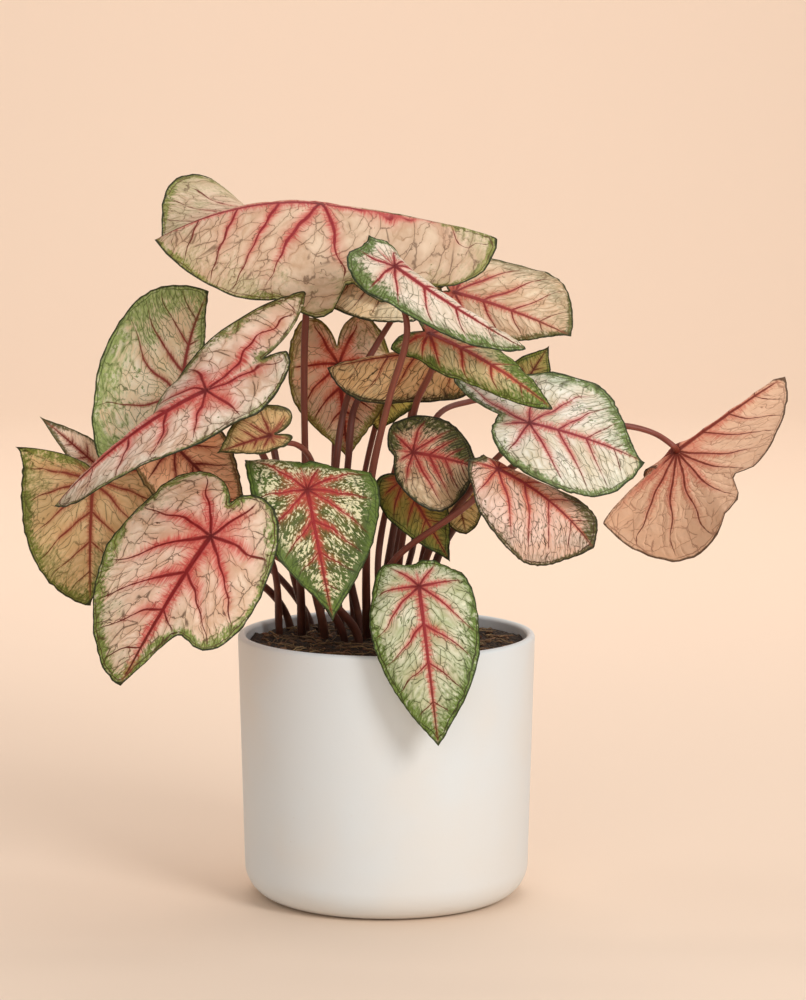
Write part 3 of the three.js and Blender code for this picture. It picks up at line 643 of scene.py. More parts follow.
LOOKS = {
    "crown": dict(
        skin=(0xC6A282, 0xE8CEB2), glow=(0xD0534F, 4.6, 10), veins=(0x93232A, 2.2), net=(0x5C3C20, 0.8, 3),
        flecks=(0x8A7C50, 0.02, 0), margin=(0x8B9141, 4.5, 0.5), hem=0x26280F, back=0xC09A74),
    "left_star": dict(
        skin=(0xC8A082, 0xF4E0CC), glow=(0xCE4941, 6, 24), veins=(0x861A1C, 2.0), net=(0x54381C, 0.95, 3),
        flecks=(0x74703C, 0.04, 0), margin=(0x737C34, (4.5, 3.5), 0.4), hem=0x24260F, back=0x9A7442),
    # painted light: skin and margin colours brightened past the leaf's own so that it looks lit where it
    # sits in shade
    "left_back": dict(
        skin=(0xF0D4A6, 0xFFF2D6), glow=(0xBC6B51, 2.6, 8), veins=(0x964038, 1.8), net=(0x55622E, 0.85, 4),
        flecks=(0x82904A, 0.26, 0), margin=(0xB0C274, 7, (0.7, 1.15)), hem=0x2E3614, back=0xB8946A),
    "left_slim": dict(
        skin=(0xFFDCBC, 0xFFF0DC), glow=(0xAC4938, 3, 6), veins=(0x7E2822, 0.8), net=(0x8A6A44, 0.5, 3),
        flecks=(0x6A6430, 0.2, 0), margin=(0x5A5828, 3, 0.7), hem=0x4A4420, back=0x9A7E54),
    "far_left": dict(
        skin=(0xD0AC74, 0xF0CE9C), glow=(0xBC6946, 3.2, 14), veins=(0x8E3A28, 1.5), net=(0x54481C, 0.75, 3),
        flecks=(0x70702E, 0.1, 0), margin=(0x7A832F, 5, 0.85), hem=0x2E2F10, back=0xB08A5C),
    "front_left": dict(
        skin=(0xD0AA88, 0xF6DEC6), glow=(0xD44B45, 7.4, 26), veins=(0x801414, 2.2), net=(0x4C321A, 0.95, 3),
        flecks=(0x5E5A2E, 0.05, 0), margin=(0x798E35, 6, 0.4), hem=0x23260E, back=0xB98A64),
    "front_mid": dict(
        skin=(0x485A20, 0x62743A), glow=(0xC8453F, 3.8, 18), veins=(0x9A2829, 1.5), net=(0x26340E, 0.75, 3),
        flecks=(0xEBE2B8, 0.66, 3.5), margin=(0x667C32, 6, 0.2), hem=0x2C3410, back=0x7C8048),
    "over_rim": dict(
        skin=(0xA8B07E, 0xF0EED4), glow=(0xCE534F, 3.6, 9), veins=(0x962C2E, 1.5), net=(0x3C3E18, 1.0, 4),
        flecks=(0x5F6E34, 0.34, 0), margin=(0x6C8534, 6, 0.9), hem=0x2C3613, back=0xA8A272),
    "right_pink": dict(
        skin=(0xD4A88C, 0xF8DACA), glow=(0xD05F45, 3.4, 8), veins=(0x963034, 1.3), net=(0x442E16, 1.0, 4),
        flecks=(0x5A4E26, 0.26, 0), margin=(0x5E5A2A, 3, (0.5, 1.3)), hem=0x2E2A12, back=0xB28A68),
    "right_dark": dict(
        skin=(0x9C7E58, 0xE4CAA8), glow=(0xC04941, 3.8, 10), veins=(0x8C2A26, 1.6), net=(0x20180A, 1.0, 4),
        flecks=(0xE4CCA8, 0.4, 2), margin=(0x4A4A1A, (4, 9), (0.6, 1.6)), hem=0x1E1E0A, back=0x6A5A38),
    "low_dark": dict(
        skin=(0x84842E, 0xC8AC5E), glow=(0xC45938, 3, 12), veins=(0x8E3A2A, 1.2), net=(0x2A240A, 0.8, 4),
        flecks=(0x35410F, 0.3, 0), margin=(0x64782C, 4, 0.9), hem=0x22240C, back=0x5A5234),
    "low_small": dict(
        skin=(0xE8C470, 0xFFF2C0), glow=(0x9D4F33, 2.4, 6), veins=(0x7C3A24, 0.9), net=(0x544618, 0.7, 3),
        flecks=(0x707022, 0.3, 0), margin=(0x686A22, 3, 0.6), hem=0x33310F, back=0x949058),
    "right_white": dict(
        skin=(0xD4C6A4, 0xFAF6E8), glow=(0xD0635C, 3.6, 13), veins=(0x94343A, 1.3), net=(0x4A4628, 0.85, 4),
        flecks=(0x7E8450, 0.2, 0), margin=(0x718841, 5, (0.35, 0.65)), hem=0x2E3616, back=0xB8AC80),
    "upper_white": dict(
        skin=(0xD4C0A4, 0xF8E8D6), glow=(0xCE4F4A, 1.9, 10), veins=(0x90262A, 1.6), net=(0x484620, 0.85, 4),
        flecks=(0x6A743A, 0.18, 0), margin=(0x5E7A2B, (8, 4), (0.7, 0.2)), hem=0x242C10, back=0x6C6E32),
    "back_right": dict(
        skin=(0xD2AC86, 0xF4DCBC), glow=(0xCE5F4F, 3.2, 6), veins=(0x9A3834, 1.7), net=(0x745632, 0.7, 3),
        flecks=(0x82824A, 0.02, 0), margin=(0x666A30, 3, (0.15, 0.6)), hem=0x33340F, back=0xB8946A),
    "under_crown": dict(
        skin=(0xFCDAA6, 0xFFECC8), glow=(0xB45F43, 3, 8), veins=(0x7C3426, 1.1), net=(0x5C4622, 0.7, 3),
        flecks=(0x74702E, 0.02, 0), margin=(0x585A22, 3.2, 0.35), hem=0x262610, back=0xB0926A),
    # painted light: skin colours brightened past the leaf's own so that it looks lit in the shade under the
    # crown
    "back_mid": dict(
        skin=(0xFFCAA0, 0xFFE8C8), glow=(0xEB5F41, 5, 18), veins=(0x9A2A1C, 2.2), net=(0x6A3C1C, 0.7, 3),
        flecks=(0x8A7A32, 0.02, 0), margin=(0xA89E48, 3.4, 0.7), hem=0x5E5620, back=0x9A6844),
    "mid_flat": dict(
        skin=(0xC8965E, 0xFFDAA4), glow=(0xCC6741, 3.6, 12), veins=(0x7A2E20, 1.2), net=(0x3A260B, 1.0, 4),
        flecks=(0x66602A, 0.02, 0), margin=(0x44461A, 3.2, 0.5), hem=0x20200C, back=0x98704A),
    "mid_green": dict(
        skin=(0xAEA068, 0xEEDCB0), glow=(0xDC5D43, 3.4, 9), veins=(0xA0342C, 2.2), net=(0x46461C, 0.95, 4),
        flecks=(0xE4D8B0, 0.34, 2), margin=(0x677C2B, (6, 5), 1.2), hem=0x282C0F, back=0x777A40),
    "back_corner": dict(
        skin=(0xA89850, 0xCCB874), glow=(0x8B5530, 2.4, 6), veins=(0x6A3022, 1.0), net=(0x444818, 0.85, 3),
        flecks=(0x5C6224, 0.3, 0), margin=(0x717E2B, 3.2, 0.8), hem=0x282C0F, back=0x806A3E),
    "far_right": dict(
        skin=(0xE6B48C, 0xFFDABC), glow=(0xD06A54, 6, 30), veins=(0x7C2A1C, 1.8), net=(0x84422E, 0.8, 3),
        flecks=(0xB4845A, 0.02, 0), margin=(0x8E6A40, 2.6, 0.2), hem=0x3A2814, back=0xECBC98),
    "left_under": dict(
        skin=(0xF6B488, 0xFFD0A8), glow=(0xA74733, 3, 10), veins=(0x6E2014, 1.4), net=(0x6C3E26, 0.75, 3),
        flecks=(0x806040, 0.02, 0), margin=(0x7E6E38, 3, 0.35), hem=0x453A1C, back=0xF6B488),
    "young": dict(
        skin=(0xB89258, 0xE0BC88), glow=(0x9D4F37, 2.6, 7), veins=(0x7C2E22, 1.1), net=(0x5A4420, 0.85, 3),
        flecks=(0x6C6A2C, 0.2, 0), margin=(0x64622A, 2.8, 0.6), hem=0x33320F, back=0x9E8658),
    # painted light: skin colours brightened far past the leaf's own olive so that it looks lit in the shade
    # behind other leaves
    "old_olive": dict(
        skin=(0xFFF080, 0xFFFF9A), glow=(0x91632E, 2, 5), veins=(0x745020, 0.9), net=(0x56561A, 0.4, 3),
        flecks=(0x62691E, 0.3, 0), margin=(0x5A6620, 3, 0.7), hem=0x343C12, back=0x988A40),
}


class LeafFinish(Finish):
    """A leaf's material. It reads the blade's own attributes, all in millimetres:

    flat = (a, b, side), ribs = (phase, spacing, run) and rim = (distance to the edge, share of the
    way from the hub to the edge, distance from the hub).
    """

    def __init__(self, blade):
        super().__init__(f"{blade.name}_finish")
        self.look = LOOKS[blade.name]
        self.a, self.b, self.side = self.attribute("flat")
        self.phase, self.spacing, self.run = self.attribute("ribs")
        self.edge, self.share, self.reach = self.attribute("rim")
        self.seed = blade.seed % 97 * 10.0
        flat = self.vector(self.a, self.b, self.seed)
        self.broad = self.noise(flat, 0.022, 2)
        self.soft = self.noise(flat, 0.055, 3)
        self.fine = self.noise(flat, 0.24, 3)
        self.grit = self.noise(flat, 0.62, 2)
        self.streaks = self.along(11.0, 0.4, 5.0, 3)
        self.on_right = self.b.rise(-1.5, 1.5)

    def along(self, across, length, shift, detail=2):
        """Noise in streaks along the ribs: across is per rib spacing, length per millimetre."""
        where = self.vector(self.phase * across, self.run * length, self.seed + shift)
        return self.noise(where, 1.0, detail)

    def sided(self, value):
        """A value for both sides, or a pair that goes over from left to right at the midrib."""
        if not isinstance(value, tuple):
            return value
        return self.on_right * (value[1] - value[0]) + value[0]

    def veins(self):
        """The main veins, the flush beside them, and the warmth between them.

        A vein is a soft step of the distance to its line, thinner towards the edge. The flush is
        a wider step of the same distance, feathered by noise, and a disc round the hub.
        """
        (_, wide, heart), (_, width) = self.look["glow"], self.look["veins"]
        share, reach = self.share, self.reach
        to_rib = abs(self.phase - self.phase.round()) * self.spacing + self.fine.swing(0.9)
        to_mid = abs(self.b) + self.fine.swing(0.6) + self.a.fall(-2, 0) * 40
        narrow = 1.25 - share
        rib = to_rib.fall(width * 0.14 * narrow, width * 0.56 * narrow) * self.edge.rise(1.5, 7)
        mid = to_mid.fall(width * 0.34 * narrow, width * 0.85 * narrow) * self.edge.rise(0.5, 4)
        main = rib.most(mid).most(reach.fall(0.9, 2.8))

        glow = 1.3 - share
        feather = self.along(1.6, 0.95, 0.0)
        barbs = self.noise(self.vector(self.b * 0.2, self.a * 0.95, self.seed), 1.0, 2)
        by_rib = (to_rib / (glow * wide) + feather.swing(1.7)).fall(0.0, 1.05)
        by_mid = (to_mid / (glow * wide * 1.25) + barbs.swing(1.7)).fall(0.0, 1.05)
        by_hub = (reach / heart + self.fine.swing(0.8)).fall(0.1, 1.0)
        flush = (by_rib * share.fall(0.35, 0.95)).most(by_mid * share.fall(0.65, 1.1))
        flush = flush.most(by_hub * 0.8)
        warmth = to_rib.least(to_mid).fall(0.0, wide * 2.4) * share.fall(0.4, 0.95) * 0.3
        return main, flush, warmth

    def net(self):
        """The fine veins, the whole net, and the quilt between.

        The fine veins are wavering lines between the ribs, faded in and out by noise. Ties, the
        borders of random cells stretched along the ribs, and a line that follows the edge make
        them a net. The quilt is 1 in the middle of a mesh.
        """
        _, strength, knit = self.look["net"]
        waver = self.along(0.9, 0.03, 11.0)
        lines = self.phase * knit + waver.swing(2.4) + self.soft.swing(2.6) + self.fine.swing(0.35)
        to_line = abs(lines - lines.round()) * self.spacing / knit
        hairs = to_line.fall(0.03, 0.32) * self.along(1.6, 0.05, 17.0).rise(0.41, 0.54)
        bent = self.fine * 0.3
        where = self.vector(
            self.phase * knit * 0.7 + bent, self.run * knit * 0.035 + bent, self.seed + 23.0
        )
        border = self.cells(where, 1.0, "DISTANCE_TO_EDGE")
        ties = border.fall(0.004, 0.038) * self.along(1.8, 0.09, 29.0).rise(0.36, 0.5)
        gather = abs(self.edge - 2.2 - self.soft.swing(5.0) - self.fine.swing(1.6)).fall(0.12, 0.5)
        net = hairs.most(ties * 0.85).most(gather * self.soft.rise(0.3, 0.5)) * strength
        return hairs, net, to_line.least(border * 9.0).rise(0.0, 2.8)

    def flecks(self, quilt):
        """Short strokes: noise stretched along the ribs, cut at the level that covers the share."""
        _, covered, bare = self.look["flecks"]
        level = 0.72 - covered * 0.36
        strokes = self.streaks + self.soft.swing(0.5) + self.fine.swing(0.25) + quilt.swing(0.06)
        inside = (self.edge + self.fine.swing(6.0)).rise(bare, bare * 1.6 + 0.1)
        return strokes.rise(level, level + 0.05) * inside

    def margin(self):
        """The green margin, the patches that spread in from it, and the hem, all by the distance
        to the edge with streaks and grit in it."""
        _, band, wash = self.look["margin"]
        band, wash, streaks = self.sided(band), self.sided(wash), self.streaks
        inwards = 1 - self.edge / ((self.broad.rise(0.3, 0.68) * 1.5 + 0.3) * band)
        margin = (inwards + streaks.swing(1.6) + self.grit.swing(0.8)).rise(0.05, 0.5)
        inside = self.share + wash * 0.2 - 0.76
        spread = (inside * 2.0 + self.soft.swing(2.2) + streaks.swing(1.6)).rise(0.1, 0.8) * wash
        return margin, spread, (self.edge + self.fine.swing(1.6)).fall(0.7, 1.6)


def leaf_finish(blade, settings):
    """The leaf's colours laid over one another on its upper side and on its underside, with painted pillow
    shade, and the skin between the fine veins swelling like a quilt."""
    near_hub = 0x3E0C08
    f = LeafFinish(blade)
    look = f.look
    (base, pale), flush_tone, vein_tone = look["skin"], look["glow"][0], look["veins"][0]
    net_tone, fleck_tone, rim_tone = look["net"][0], look["flecks"][0], look["margin"][0]
    main, flush, warmth = f.veins()
    hairs, net, quilt = f.net()
    flecks = f.flecks(quilt)
    margin, spread, hem = f.margin()

    # random mottle from noise, plus painted pillow shade from the quilt: lighter in the middle of each mesh
    # of fine veins, darker beside them
    mottle_and_pillow_shade = f.soft.swing(1.3) + f.fine.swing(0.25) + quilt.swing(0.3) + 0.58
    green = f.paint(
        rim_tone,
        (f.streaks.rise(0.46, 0.62) * 0.4, look["hem"]),
        (quilt * f.grit.rise(0.46, 0.58) * 0.6, pale),
    )
    vein = f.paint(
        vein_tone,
        (f.share.rise(0.45, 1.0) * 0.75, net_tone),
        (f.reach.fall(1.0, 7.0) * 0.5, near_hub),
    )
    upper = f.paint(
        base,
        (mottle_and_pillow_shade.rise(0.05, 0.95), pale),
        (warmth, flush_tone),
        (flecks * 0.9, fleck_tone),
        (spread * 0.85, green),
        (margin * 0.92, green),
        (net, net_tone),
        (flush * 0.85, flush_tone),
        (flush * flush * flush * 0.25, vein_tone),
        (main, vein),
        (hem * 0.95, look["hem"]),
    )
    under = f.paint(
        look["back"],
        (mottle_and_pillow_shade * 0.5, pale),
        (spread * 0.5, rim_tone),
        (net * 0.75, net_tone),
        (flush * 0.8, flush_tone),
        (main * 0.95, vein),
        (hem * 0.85, look["hem"]),
    )
    below = f.side.fall(-0.2, 0.2)
    swell = quilt * 0.45 - main * 0.7 - hairs * 0.2
    relief = swell * f.side + f.fine.swing(0.35) + f.grit.swing(0.15)
    f.feed(
        Base_Color=f.mix(below, upper, under),
        Roughness=0.46 + f.fine * 0.16 + below * 0.12,
        Normal=f.bump(relief, settings.relief, 0.7),
        Specular_IOR_Level=settings.gloss,
    )
    return f.material


# ---- pieces ----


def blade_piece(blade, settings):
    """A closed leaf: two skins over the blade's grid, joined by a narrow strip round the edge.

    At share s of the way from the hub to the edge it is thickness * (1 - 0.48 * s**2) thick.
    """
    a, b, height, share, ribs, rim = blade.surface()
    rows, columns = a.shape
    thickness = settings.thickness / MM
    half = thickness * (0.5 - 0.24 * share**2)
    hub_ribs = ribs[:columns].mean(0) * (0, 1, 0)
    hub_rim = (rim[0, 0] + rim[0, 2], 0, 0)
    points, values = [], {"flat": [], "ribs": [], "rim": []}
    for side in (1, -1):
        skin = blade.place(a, b, height + side * half).reshape(-1, 3)
        points += [blade.place(0.0, 0.0, side * thickness / 2)[None], skin]
        flat = np.stack([a, b, np.full(a.shape, side)], -1).reshape(-1, 3)
        values["flat"].append(np.vstack([(0, 0, side), flat]))
        values["ribs"].append(np.vstack([hub_ribs, ribs]))
        values["rim"].append(np.vstack([hub_rim, rim]))
    stride = 1 + rows * columns
    first = np.arange(columns)
    top = [fan_faces(0, 1 + first[::-1]), ring_faces(rows, columns, 1)[:, ::-1]]
    under = [fan_faces(stride, stride + 1 + first), ring_faces(rows, columns, stride + 1)]
    last = 1 + (rows - 1) * columns + first
    after = np.roll(last, -1)
    strip = np.stack([last, after, after + stride, last + stride], -1)[:, ::-1]
    values = {key: np.concatenate(v) for key, v in values.items()}
    return make_mesh(f"{blade.name}_blade", np.concatenate(points), [*top, *under, strip], values)


def stalk_piece(blade, settings):
    """A leaf stalk: a tube on a smooth curve from inside the soil, past its points, to the hub.

    At share t of the way its radius is low + (high - low) * t**0.7, less for a short blade, with
    a slight swelling and thinning along it and a flare of 35% close to the blade.
    """
    steps, sides = 72, 14
    path = [
        (*blade.foot, settings.foot_low / MM),
        (*blade.foot, settings.foot_high / MM),
        *blade.by,
        blade.place(0.0, 0.0, -RUN_IN),
        blade.place(0.0, 0.0, -0.5),
    ]
    curve = spline(path, steps)
    share = np.linspace(0, 1, steps)
    low, high = settings.foot_radius / MM, settings.top_radius / MM
    to_blade = np.linalg.norm(curve - curve[-1], axis=1)
    radius = (low + (high - low) * share**0.7) * min(1, 0.75 + blade.length / 400)
    swelling = 0.05 * np.sin(9 * share * math.pi + blade.seed)
    radius *= 1 + swelling + 0.35 * np.exp(-((to_blade / 2.6) ** 2))
    rings = tube(curve, radius, sides)
    around = np.broadcast_to(np.arange(sides) / sides, rings.shape[:2])
    up = np.broadcast_to(share[:, None], around.shape)
    way = np.stack([up, around, rings[..., 2] - SOIL_TOP], -1)
    return tube_piece(f"{blade.name}_stalk", rings, {"way": way})


def stalk_finish(blade, settings):
    """Maroon at the foot to red-brown at the top, with fine streaks along the stalk.

    It reads way = (share of the way up, share of the way round, height over the soil).
    """
    dark_streak, tan_patch, dark_near_soil = 0x3E2016, 0x8E5A3C, 0x2A1810
    f = Finish(f"{blade.name}_stalk_finish")
    share, around, height = f.attribute("way")
    place = f.place()
    grain = f.noise(place, 900.0, 3)
    broad = f.noise(place, 60.0, 3)
    where = f.vector(share * 9.0, around * 34.0, blade.seed % 31 * 1.0)
    streak = f.noise(where, 1.0, 3)
    colour = f.paint(
        settings.foot_colour,
        (share.rise(0.0, 0.85), settings.top_colour),
        (streak.rise(0.42, 0.7) * 0.5, dark_streak),
        (broad.rise(0.5, 0.72) * 0.35, tan_patch),
        (share.rise(0.9, 1.0) * 0.6, LOOKS[blade.name]["veins"][0]),
        # darker within about 9 mm over the soil
        (height.fall(-2, 9) * 0.45, dark_near_soil),
    )
    relief = f.bump(streak + grain * 0.3, 0.0003, 0.7)
    f.feed(Base_Color=colour, Roughness=0.36 + grain * 0.2, Normal=relief)
    return f.material


def pot_profile(settings):
    """The pot's section from the axis, up the outside, over the lip and down inside: quarter
    circles at the foot, a half circle over the lip, and straight lines between them."""
    height, wall, turn = settings.height / MM, settings.wall / MM, settings.foot_round / MM
    top, bottom = settings.top_radius / MM, settings.bottom_radius / MM
    lip = wall / 2
    outside = arc(bottom - turn, turn, turn, -90, 0, 20)
    over = arc(top - lip, height - lip, lip, 0, 180, 16)
    inside = arc(bottom - turn, turn, turn - wall, 0, -90, 14)
    rise = np.linspace(0, 1, 40)[1:-1, None]
    up = outside[-1] + (over[0] - outside[-1]) * rise
    down = over[-1] + (inside[0] - over[-1]) * rise
    return np.concatenate([[[0, 0]], outside, up, over, down, inside, [[0, wall]]])


def pot_finish(settings):
    """Matt white glaze with a fine grain, a faint warm cloud, specks and painted shade darkening the foot.
    """
    warm_cloud, speck_tone, painted_foot_shade = 0xE9E0D4, 0xCDBEAE, 0xC6B6A4
    f = Finish("pot_finish")
    place = f.place()
    cloud = f.noise(place, 9.0, 3)
    speck = f.noise(place, 420.0, 4, 0.7)
    fine = f.noise(place, 1400.0, 2)
    height = f.parts(place)[2]
    colour = f.paint(
        settings.glaze,
        (cloud.rise(0.35, 0.7) * 0.5, warm_cloud),
        (speck.rise(0.66, 0.78) * 0.35, speck_tone),
        # painted shade: the lowest 6 mm of the pot darkened where it stands on the floor
        (height.fall(0.0, 0.006) * 0.4, painted_foot_shade),
    )
    f.feed(
        Base_Color=colour,
        Roughness=0.42 + speck * 0.16,
        Normal=f.bump(speck * 0.5 + fine * 0.5, 0.00012, 0.5),
        Specular_IOR_Level=0.4,
    )
    return f.material


def soil_height(x, y):
    """The soil's top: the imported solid's slow waves with finer lumps on them."""
    slow = 0.9 * np.sin(x / 9 + 1) * np.cos(y / 7) + 0.6 * np.sin((x + y) / 5)
    return SOIL_TOP + slow + ripple(x, y, 31, 9, 4)


def soil_piece():
    """Soil that fills the pot, 0.3 mm clear of it: a turned body from the floor up a quarter
    circle and a straight side, and in to the axis, its top lifted to soil_height."""
    floor, turn_centre, turn_height, turn_radius = 5.3, 65.8, 20.5, 15.2
    low_radius, top_radius, edge_height = 81.0, 84.2, 154.5
    turn = arc(turn_centre, turn_height, turn_radius, -90, 0, 8)
    up, outwards = edge_height - turn_height, top_radius - low_radius
    side = np.linspace(0, 1, 12)[1:, None] * (outwards, up) + (low_radius, turn_height)
    top = np.linspace(1, 0, 72)[1:, None] * (top_radius, 0) + (0, edge_height)
    points, faces = lathe(np.concatenate([[[0, floor]], turn, side, top]), 168)
    lid = points[:, 2] >= edge_height
    points[lid, 2] = soil_height(points[lid, 0], points[lid, 1])
    return make_mesh("potting_soil", points, faces)


def soil_finish(settings):
    """Dark crumbly brown with paler crumbs."""
    clod, shade, pale_crumb = 0x4A3526, 0x120B07, 0x7A5A3E
    f = Finish("soil_finish")
    place = f.place()
    lumps = f.noise(place, 160.0, 5, 0.65)
    crumbs, pale = f.cells(place, 520.0), f.cells(place, 300.0)
    colour = f.paint(
        settings.colour,
        (lumps.rise(0.35, 0.7), clod),
        (crumbs.rise(0.35, 0.75) * 0.8, shade),
        (pale.fall(0.06, 0.2) * 0.5, pale_crumb),
    )
    relief = f.bump(lumps - crumbs * 0.8, 0.0016, 1.0)
    f.feed(Base_Color=colour, Roughness=0.85 + lumps * 0.12, Normal=relief)
    return f.material


def scatter(chance, count, reach, clear):
    """Places on the soil, none nearer than clear to a stalk's foot, as (x, y) rows."""
    feet = np.array([blade.foot for blade in BLADES], float)
    tries = count * 6
    angle = chance.uniform(0, 2 * math.pi, tries)
    radius = reach * np.sqrt(chance.uniform(0, 1, tries))
    spots = np.stack([radius * np.cos(angle), radius * np.sin(angle)], -1)
    apart = np.linalg.norm(spots[:, None] - feet, axis=2).min(1)
    return spots[apart > clear][:count]


def turns(chance, count, tilt):
    """Random turns: any heading about Z, then a tip of up to tilt about X, as 3 by 3 matrices."""
    spin = chance.uniform(0, 2 * math.pi, count)
    tip = chance.uniform(-tilt, tilt, count)
    c, s, ct, st, zero = np.cos(spin), np.sin(spin), np.cos(tip), np.sin(tip), np.zeros(count)
    rows = [[c, -s * ct, s * st], [s, c * ct, -c * st], [zero, st, ct]]
    return np.stack([np.stack(row, -1) for row in rows], 1)


def tints(chance, count, stride):
    """Three random numbers for each of count bodies, the same at all its vertices."""
    tint = np.repeat(chance.uniform(0, 1, (count, 1, 3)), stride, axis=1)
    return {"tint": tint.reshape(-1, 3)}


def chips_piece(settings):
    """Bark chips lying on the soil: flattened lumps with blunt corners, each stretched, turned and
    roughened by its own random numbers. A lump is a coarse ball of three rings with each
    coordinate raised to the power 0.7."""
    chance = np.random.default_rng(7)
    spots = scatter(chance, settings.chips, 78, 5.5)
    count, sides = len(spots), 7
    lat, lon = np.radians([[-55], [0], [55]]), 2 * math.pi * np.arange(sides) / sides
    rings = (np.cos(lat) * np.cos(lon), np.cos(lat) * np.sin(lon), np.sin(lat))
    ball = np.stack(np.broadcast_arrays(*rings), -1).reshape(-1, 3)
    ball = np.concatenate([ball, [[0, 0, -0.9], [0, 0, 0.9]]])
    shape = np.sign(ball) * np.abs(ball) ** 0.7
    least, more = (0.9, 0.7, 0.4), (3.6, 1.9, 0.9)
    size = chance.uniform(0, 1, (count, 1, 3)) ** 2.0 * more + least
    rough = 1 + chance.uniform(-0.28, 0.28, (count, len(shape), 3))
    lumps = np.einsum("nij,nkj->nki", turns(chance, count, 0.5), shape * size * rough)
    rest = soil_height(spots[:, 0], spots[:, 1]) + size[:, 0, 2] * 0.35
    points = (lumps + np.column_stack([spots, rest])[:, None]).reshape(-1, 3)
    faces = repeated(capped_faces(len(lat), sides), count, len(shape))
    return make_mesh("bark_chips", points, faces, tints(chance, count, len(shape)), smooth=False)


def fibres_piece(settings):
    """Thin threads lying on the soil, four-sided tubes: each an arc of random length, bow and
    heading with a slight wave in it, arched a little and thinner at both ends."""
    chance = np.random.default_rng(11)
    spots = scatter(chance, settings.fibres, 72, 5.0)
    count, steps, sides = len(spots), 9, 4
    t = np.linspace(-0.5, 0.5, steps)
    length = chance.uniform(7, 22, (count, 1))
    bow = chance.uniform(-0.5, 0.5, (count, 1))
    heading = chance.uniform(0, 2 * math.pi, (count, 1))
    forward = t * length
    aside = bow * length * (0.25 - t**2) + 0.05 * length * np.sin(9 * t + heading)
    x = spots[:, :1] + forward * np.cos(heading) - aside * np.sin(heading)
    y = spots[:, 1:] + forward * np.sin(heading) + aside * np.cos(heading)
    keep = np.minimum(1, 80 / np.maximum(np.hypot(x, y), 1e-6))
    x, y = x * keep, y * keep
    arch = 1.6 * np.cos(math.pi * t) * chance.uniform(0, 1, (count, 1))
    z = soil_height(x, y) + 1.3 + arch
    thick = chance.uniform(0.22, 0.5, (count, 1, 1)) * np.cos(math.pi * t * 0.9)[:, None]
    corner = 2 * math.pi * np.arange(sides)[:, None] / sides
    across = np.stack([-np.sin(heading), np.cos(heading), 0 * heading], -1)
    round_way = np.cos(corner) * across[:, :, None] + np.sin(corner) * np.array([0, 0, 1.0])
    points = np.stack([x, y, z], -1)[:, :, None] + thick[..., None] * round_way
    stride = steps * sides
    start = np.arange(sides)[None]
    one = [ring_faces(steps, sides), start, start[:, ::-1] + (steps - 1) * sides]
    faces = repeated(one, count, stride)
    return make_mesh("soil_fibres", points.reshape(-1, 3), faces, tints(chance, count, stride))


def litter_finish(name, dark, pale, scale):
    """Bark or fibre: each bit has its own tone between dark and pale, with grain along it."""
    rust, shade = 0x6A3A22, 0x1E130C
    f = Finish(name)
    tone, second, _ = f.attribute("tint")
    grain = f.noise(f.place(), scale, 4, 0.65)
    colour = f.paint(
        dark,
        (tone * 0.75 + grain * 0.35, pale),
        (second.rise(0.75, 0.95) * 0.6, rust),
        (grain.fall(0.3, 0.5) * 0.5, shade),
    )
    relief = f.bump(grain, 0.0006, 0.9)
    f.feed(Base_Color=colour, Roughness=0.75 + grain * 0.15, Normal=relief)
    return f.material


# ---- settings ----


def setting(kind, **rest):
    """A function that makes a setting of this kind from its name, description and default."""

    def make(name, description, default):
        return kind(name=name, description=description, default=default, min=0, **rest)

    return make


length_setting = setting(bpy.props.FloatProperty, unit="LENGTH")
power_setting = setting(bpy.props.FloatProperty, unit="POWER")
share_setting = setting(bpy.props.FloatProperty, max=1, subtype="FACTOR")
count_setting = setting(bpy.props.IntProperty, max=800)


def colour_setting(name, description, default):
    make = setting(bpy.props.FloatVectorProperty, size=3, max=1, subtype="COLOR")
    return make(name, description, linear(default))


class BladeSettings(bpy.types.PropertyGroup):
    """Settings of every leaf blade."""

    thickness: length_setting("Thickness", "How thick a blade is at its hub", 0.0008)
    relief: length_setting("Relief", "How deep the veins are drawn in the surface", 0.0010)
    gloss: share_setting("Gloss", "How strongly the skin reflects", 0.25)


class StalkSettings(bpy.types.PropertyGroup):
    """Settings of every leaf stalk."""

    foot_low: length_setting("Foot height", "Where a stalk starts, inside the soil", 0.139)
    foot_high: length_setting("Collar height", "Where a stalk leaves the soil", 0.159)
    foot_radius: length_setting("Foot radius", "A large stalk's radius at the soil", 0.003)
    top_radius: length_setting("Top radius", "A large stalk's radius under the blade", 0.0017)
    foot_colour: colour_setting("Foot colour", "The skin near the soil", 0x4C2B1E)
    top_colour: colour_setting("Top colour", "The skin near the blade", 0x8E4636)


class PotSettings(bpy.types.PropertyGroup):
    """Settings of the pot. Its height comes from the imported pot."""

    height: length_setting("Height", "The pot's height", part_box("pot")[1][2])
    top_radius: length_setting("Top radius", "The outer radius at the lip", 0.09)
    bottom_radius: length_setting("Bottom radius", "The outer radius above the foot", 0.0863)
    wall: length_setting("Wall", "The wall's thickness", 0.005)
    foot_round: length_setting("Foot round", "The radius of the rounded foot", 0.0205)
    glaze: colour_setting("Glaze", "The pot's main colour", 0xE2E8EA)


class SoilSettings(bpy.types.PropertyGroup):
    """Settings of the soil and what lies on it."""

    chips: count_setting("Chips", "How many bark chips", 420)
    fibres: count_setting("Fibres", "How many fibres", 260)
    colour: colour_setting("Soil colour", "The soil's main colour", 0x3A2A1C)


class StageSettings(bpy.types.PropertyGroup):
    """Settings of the floor and the lights."""

    floor: colour_setting("Floor colour", "The floor and the backdrop", 0xF6E0CA)
    key: power_setting("Key light", "The main light's power", 22.0)
    fill: power_setting("Front light", "The soft front light's power", 6.0)
    top: power_setting("Top light", "The soft light's power from above", 5.6)
    wall: power_setting("Wall light", "The backdrop light's power", 56.0)


# ---- stage ----


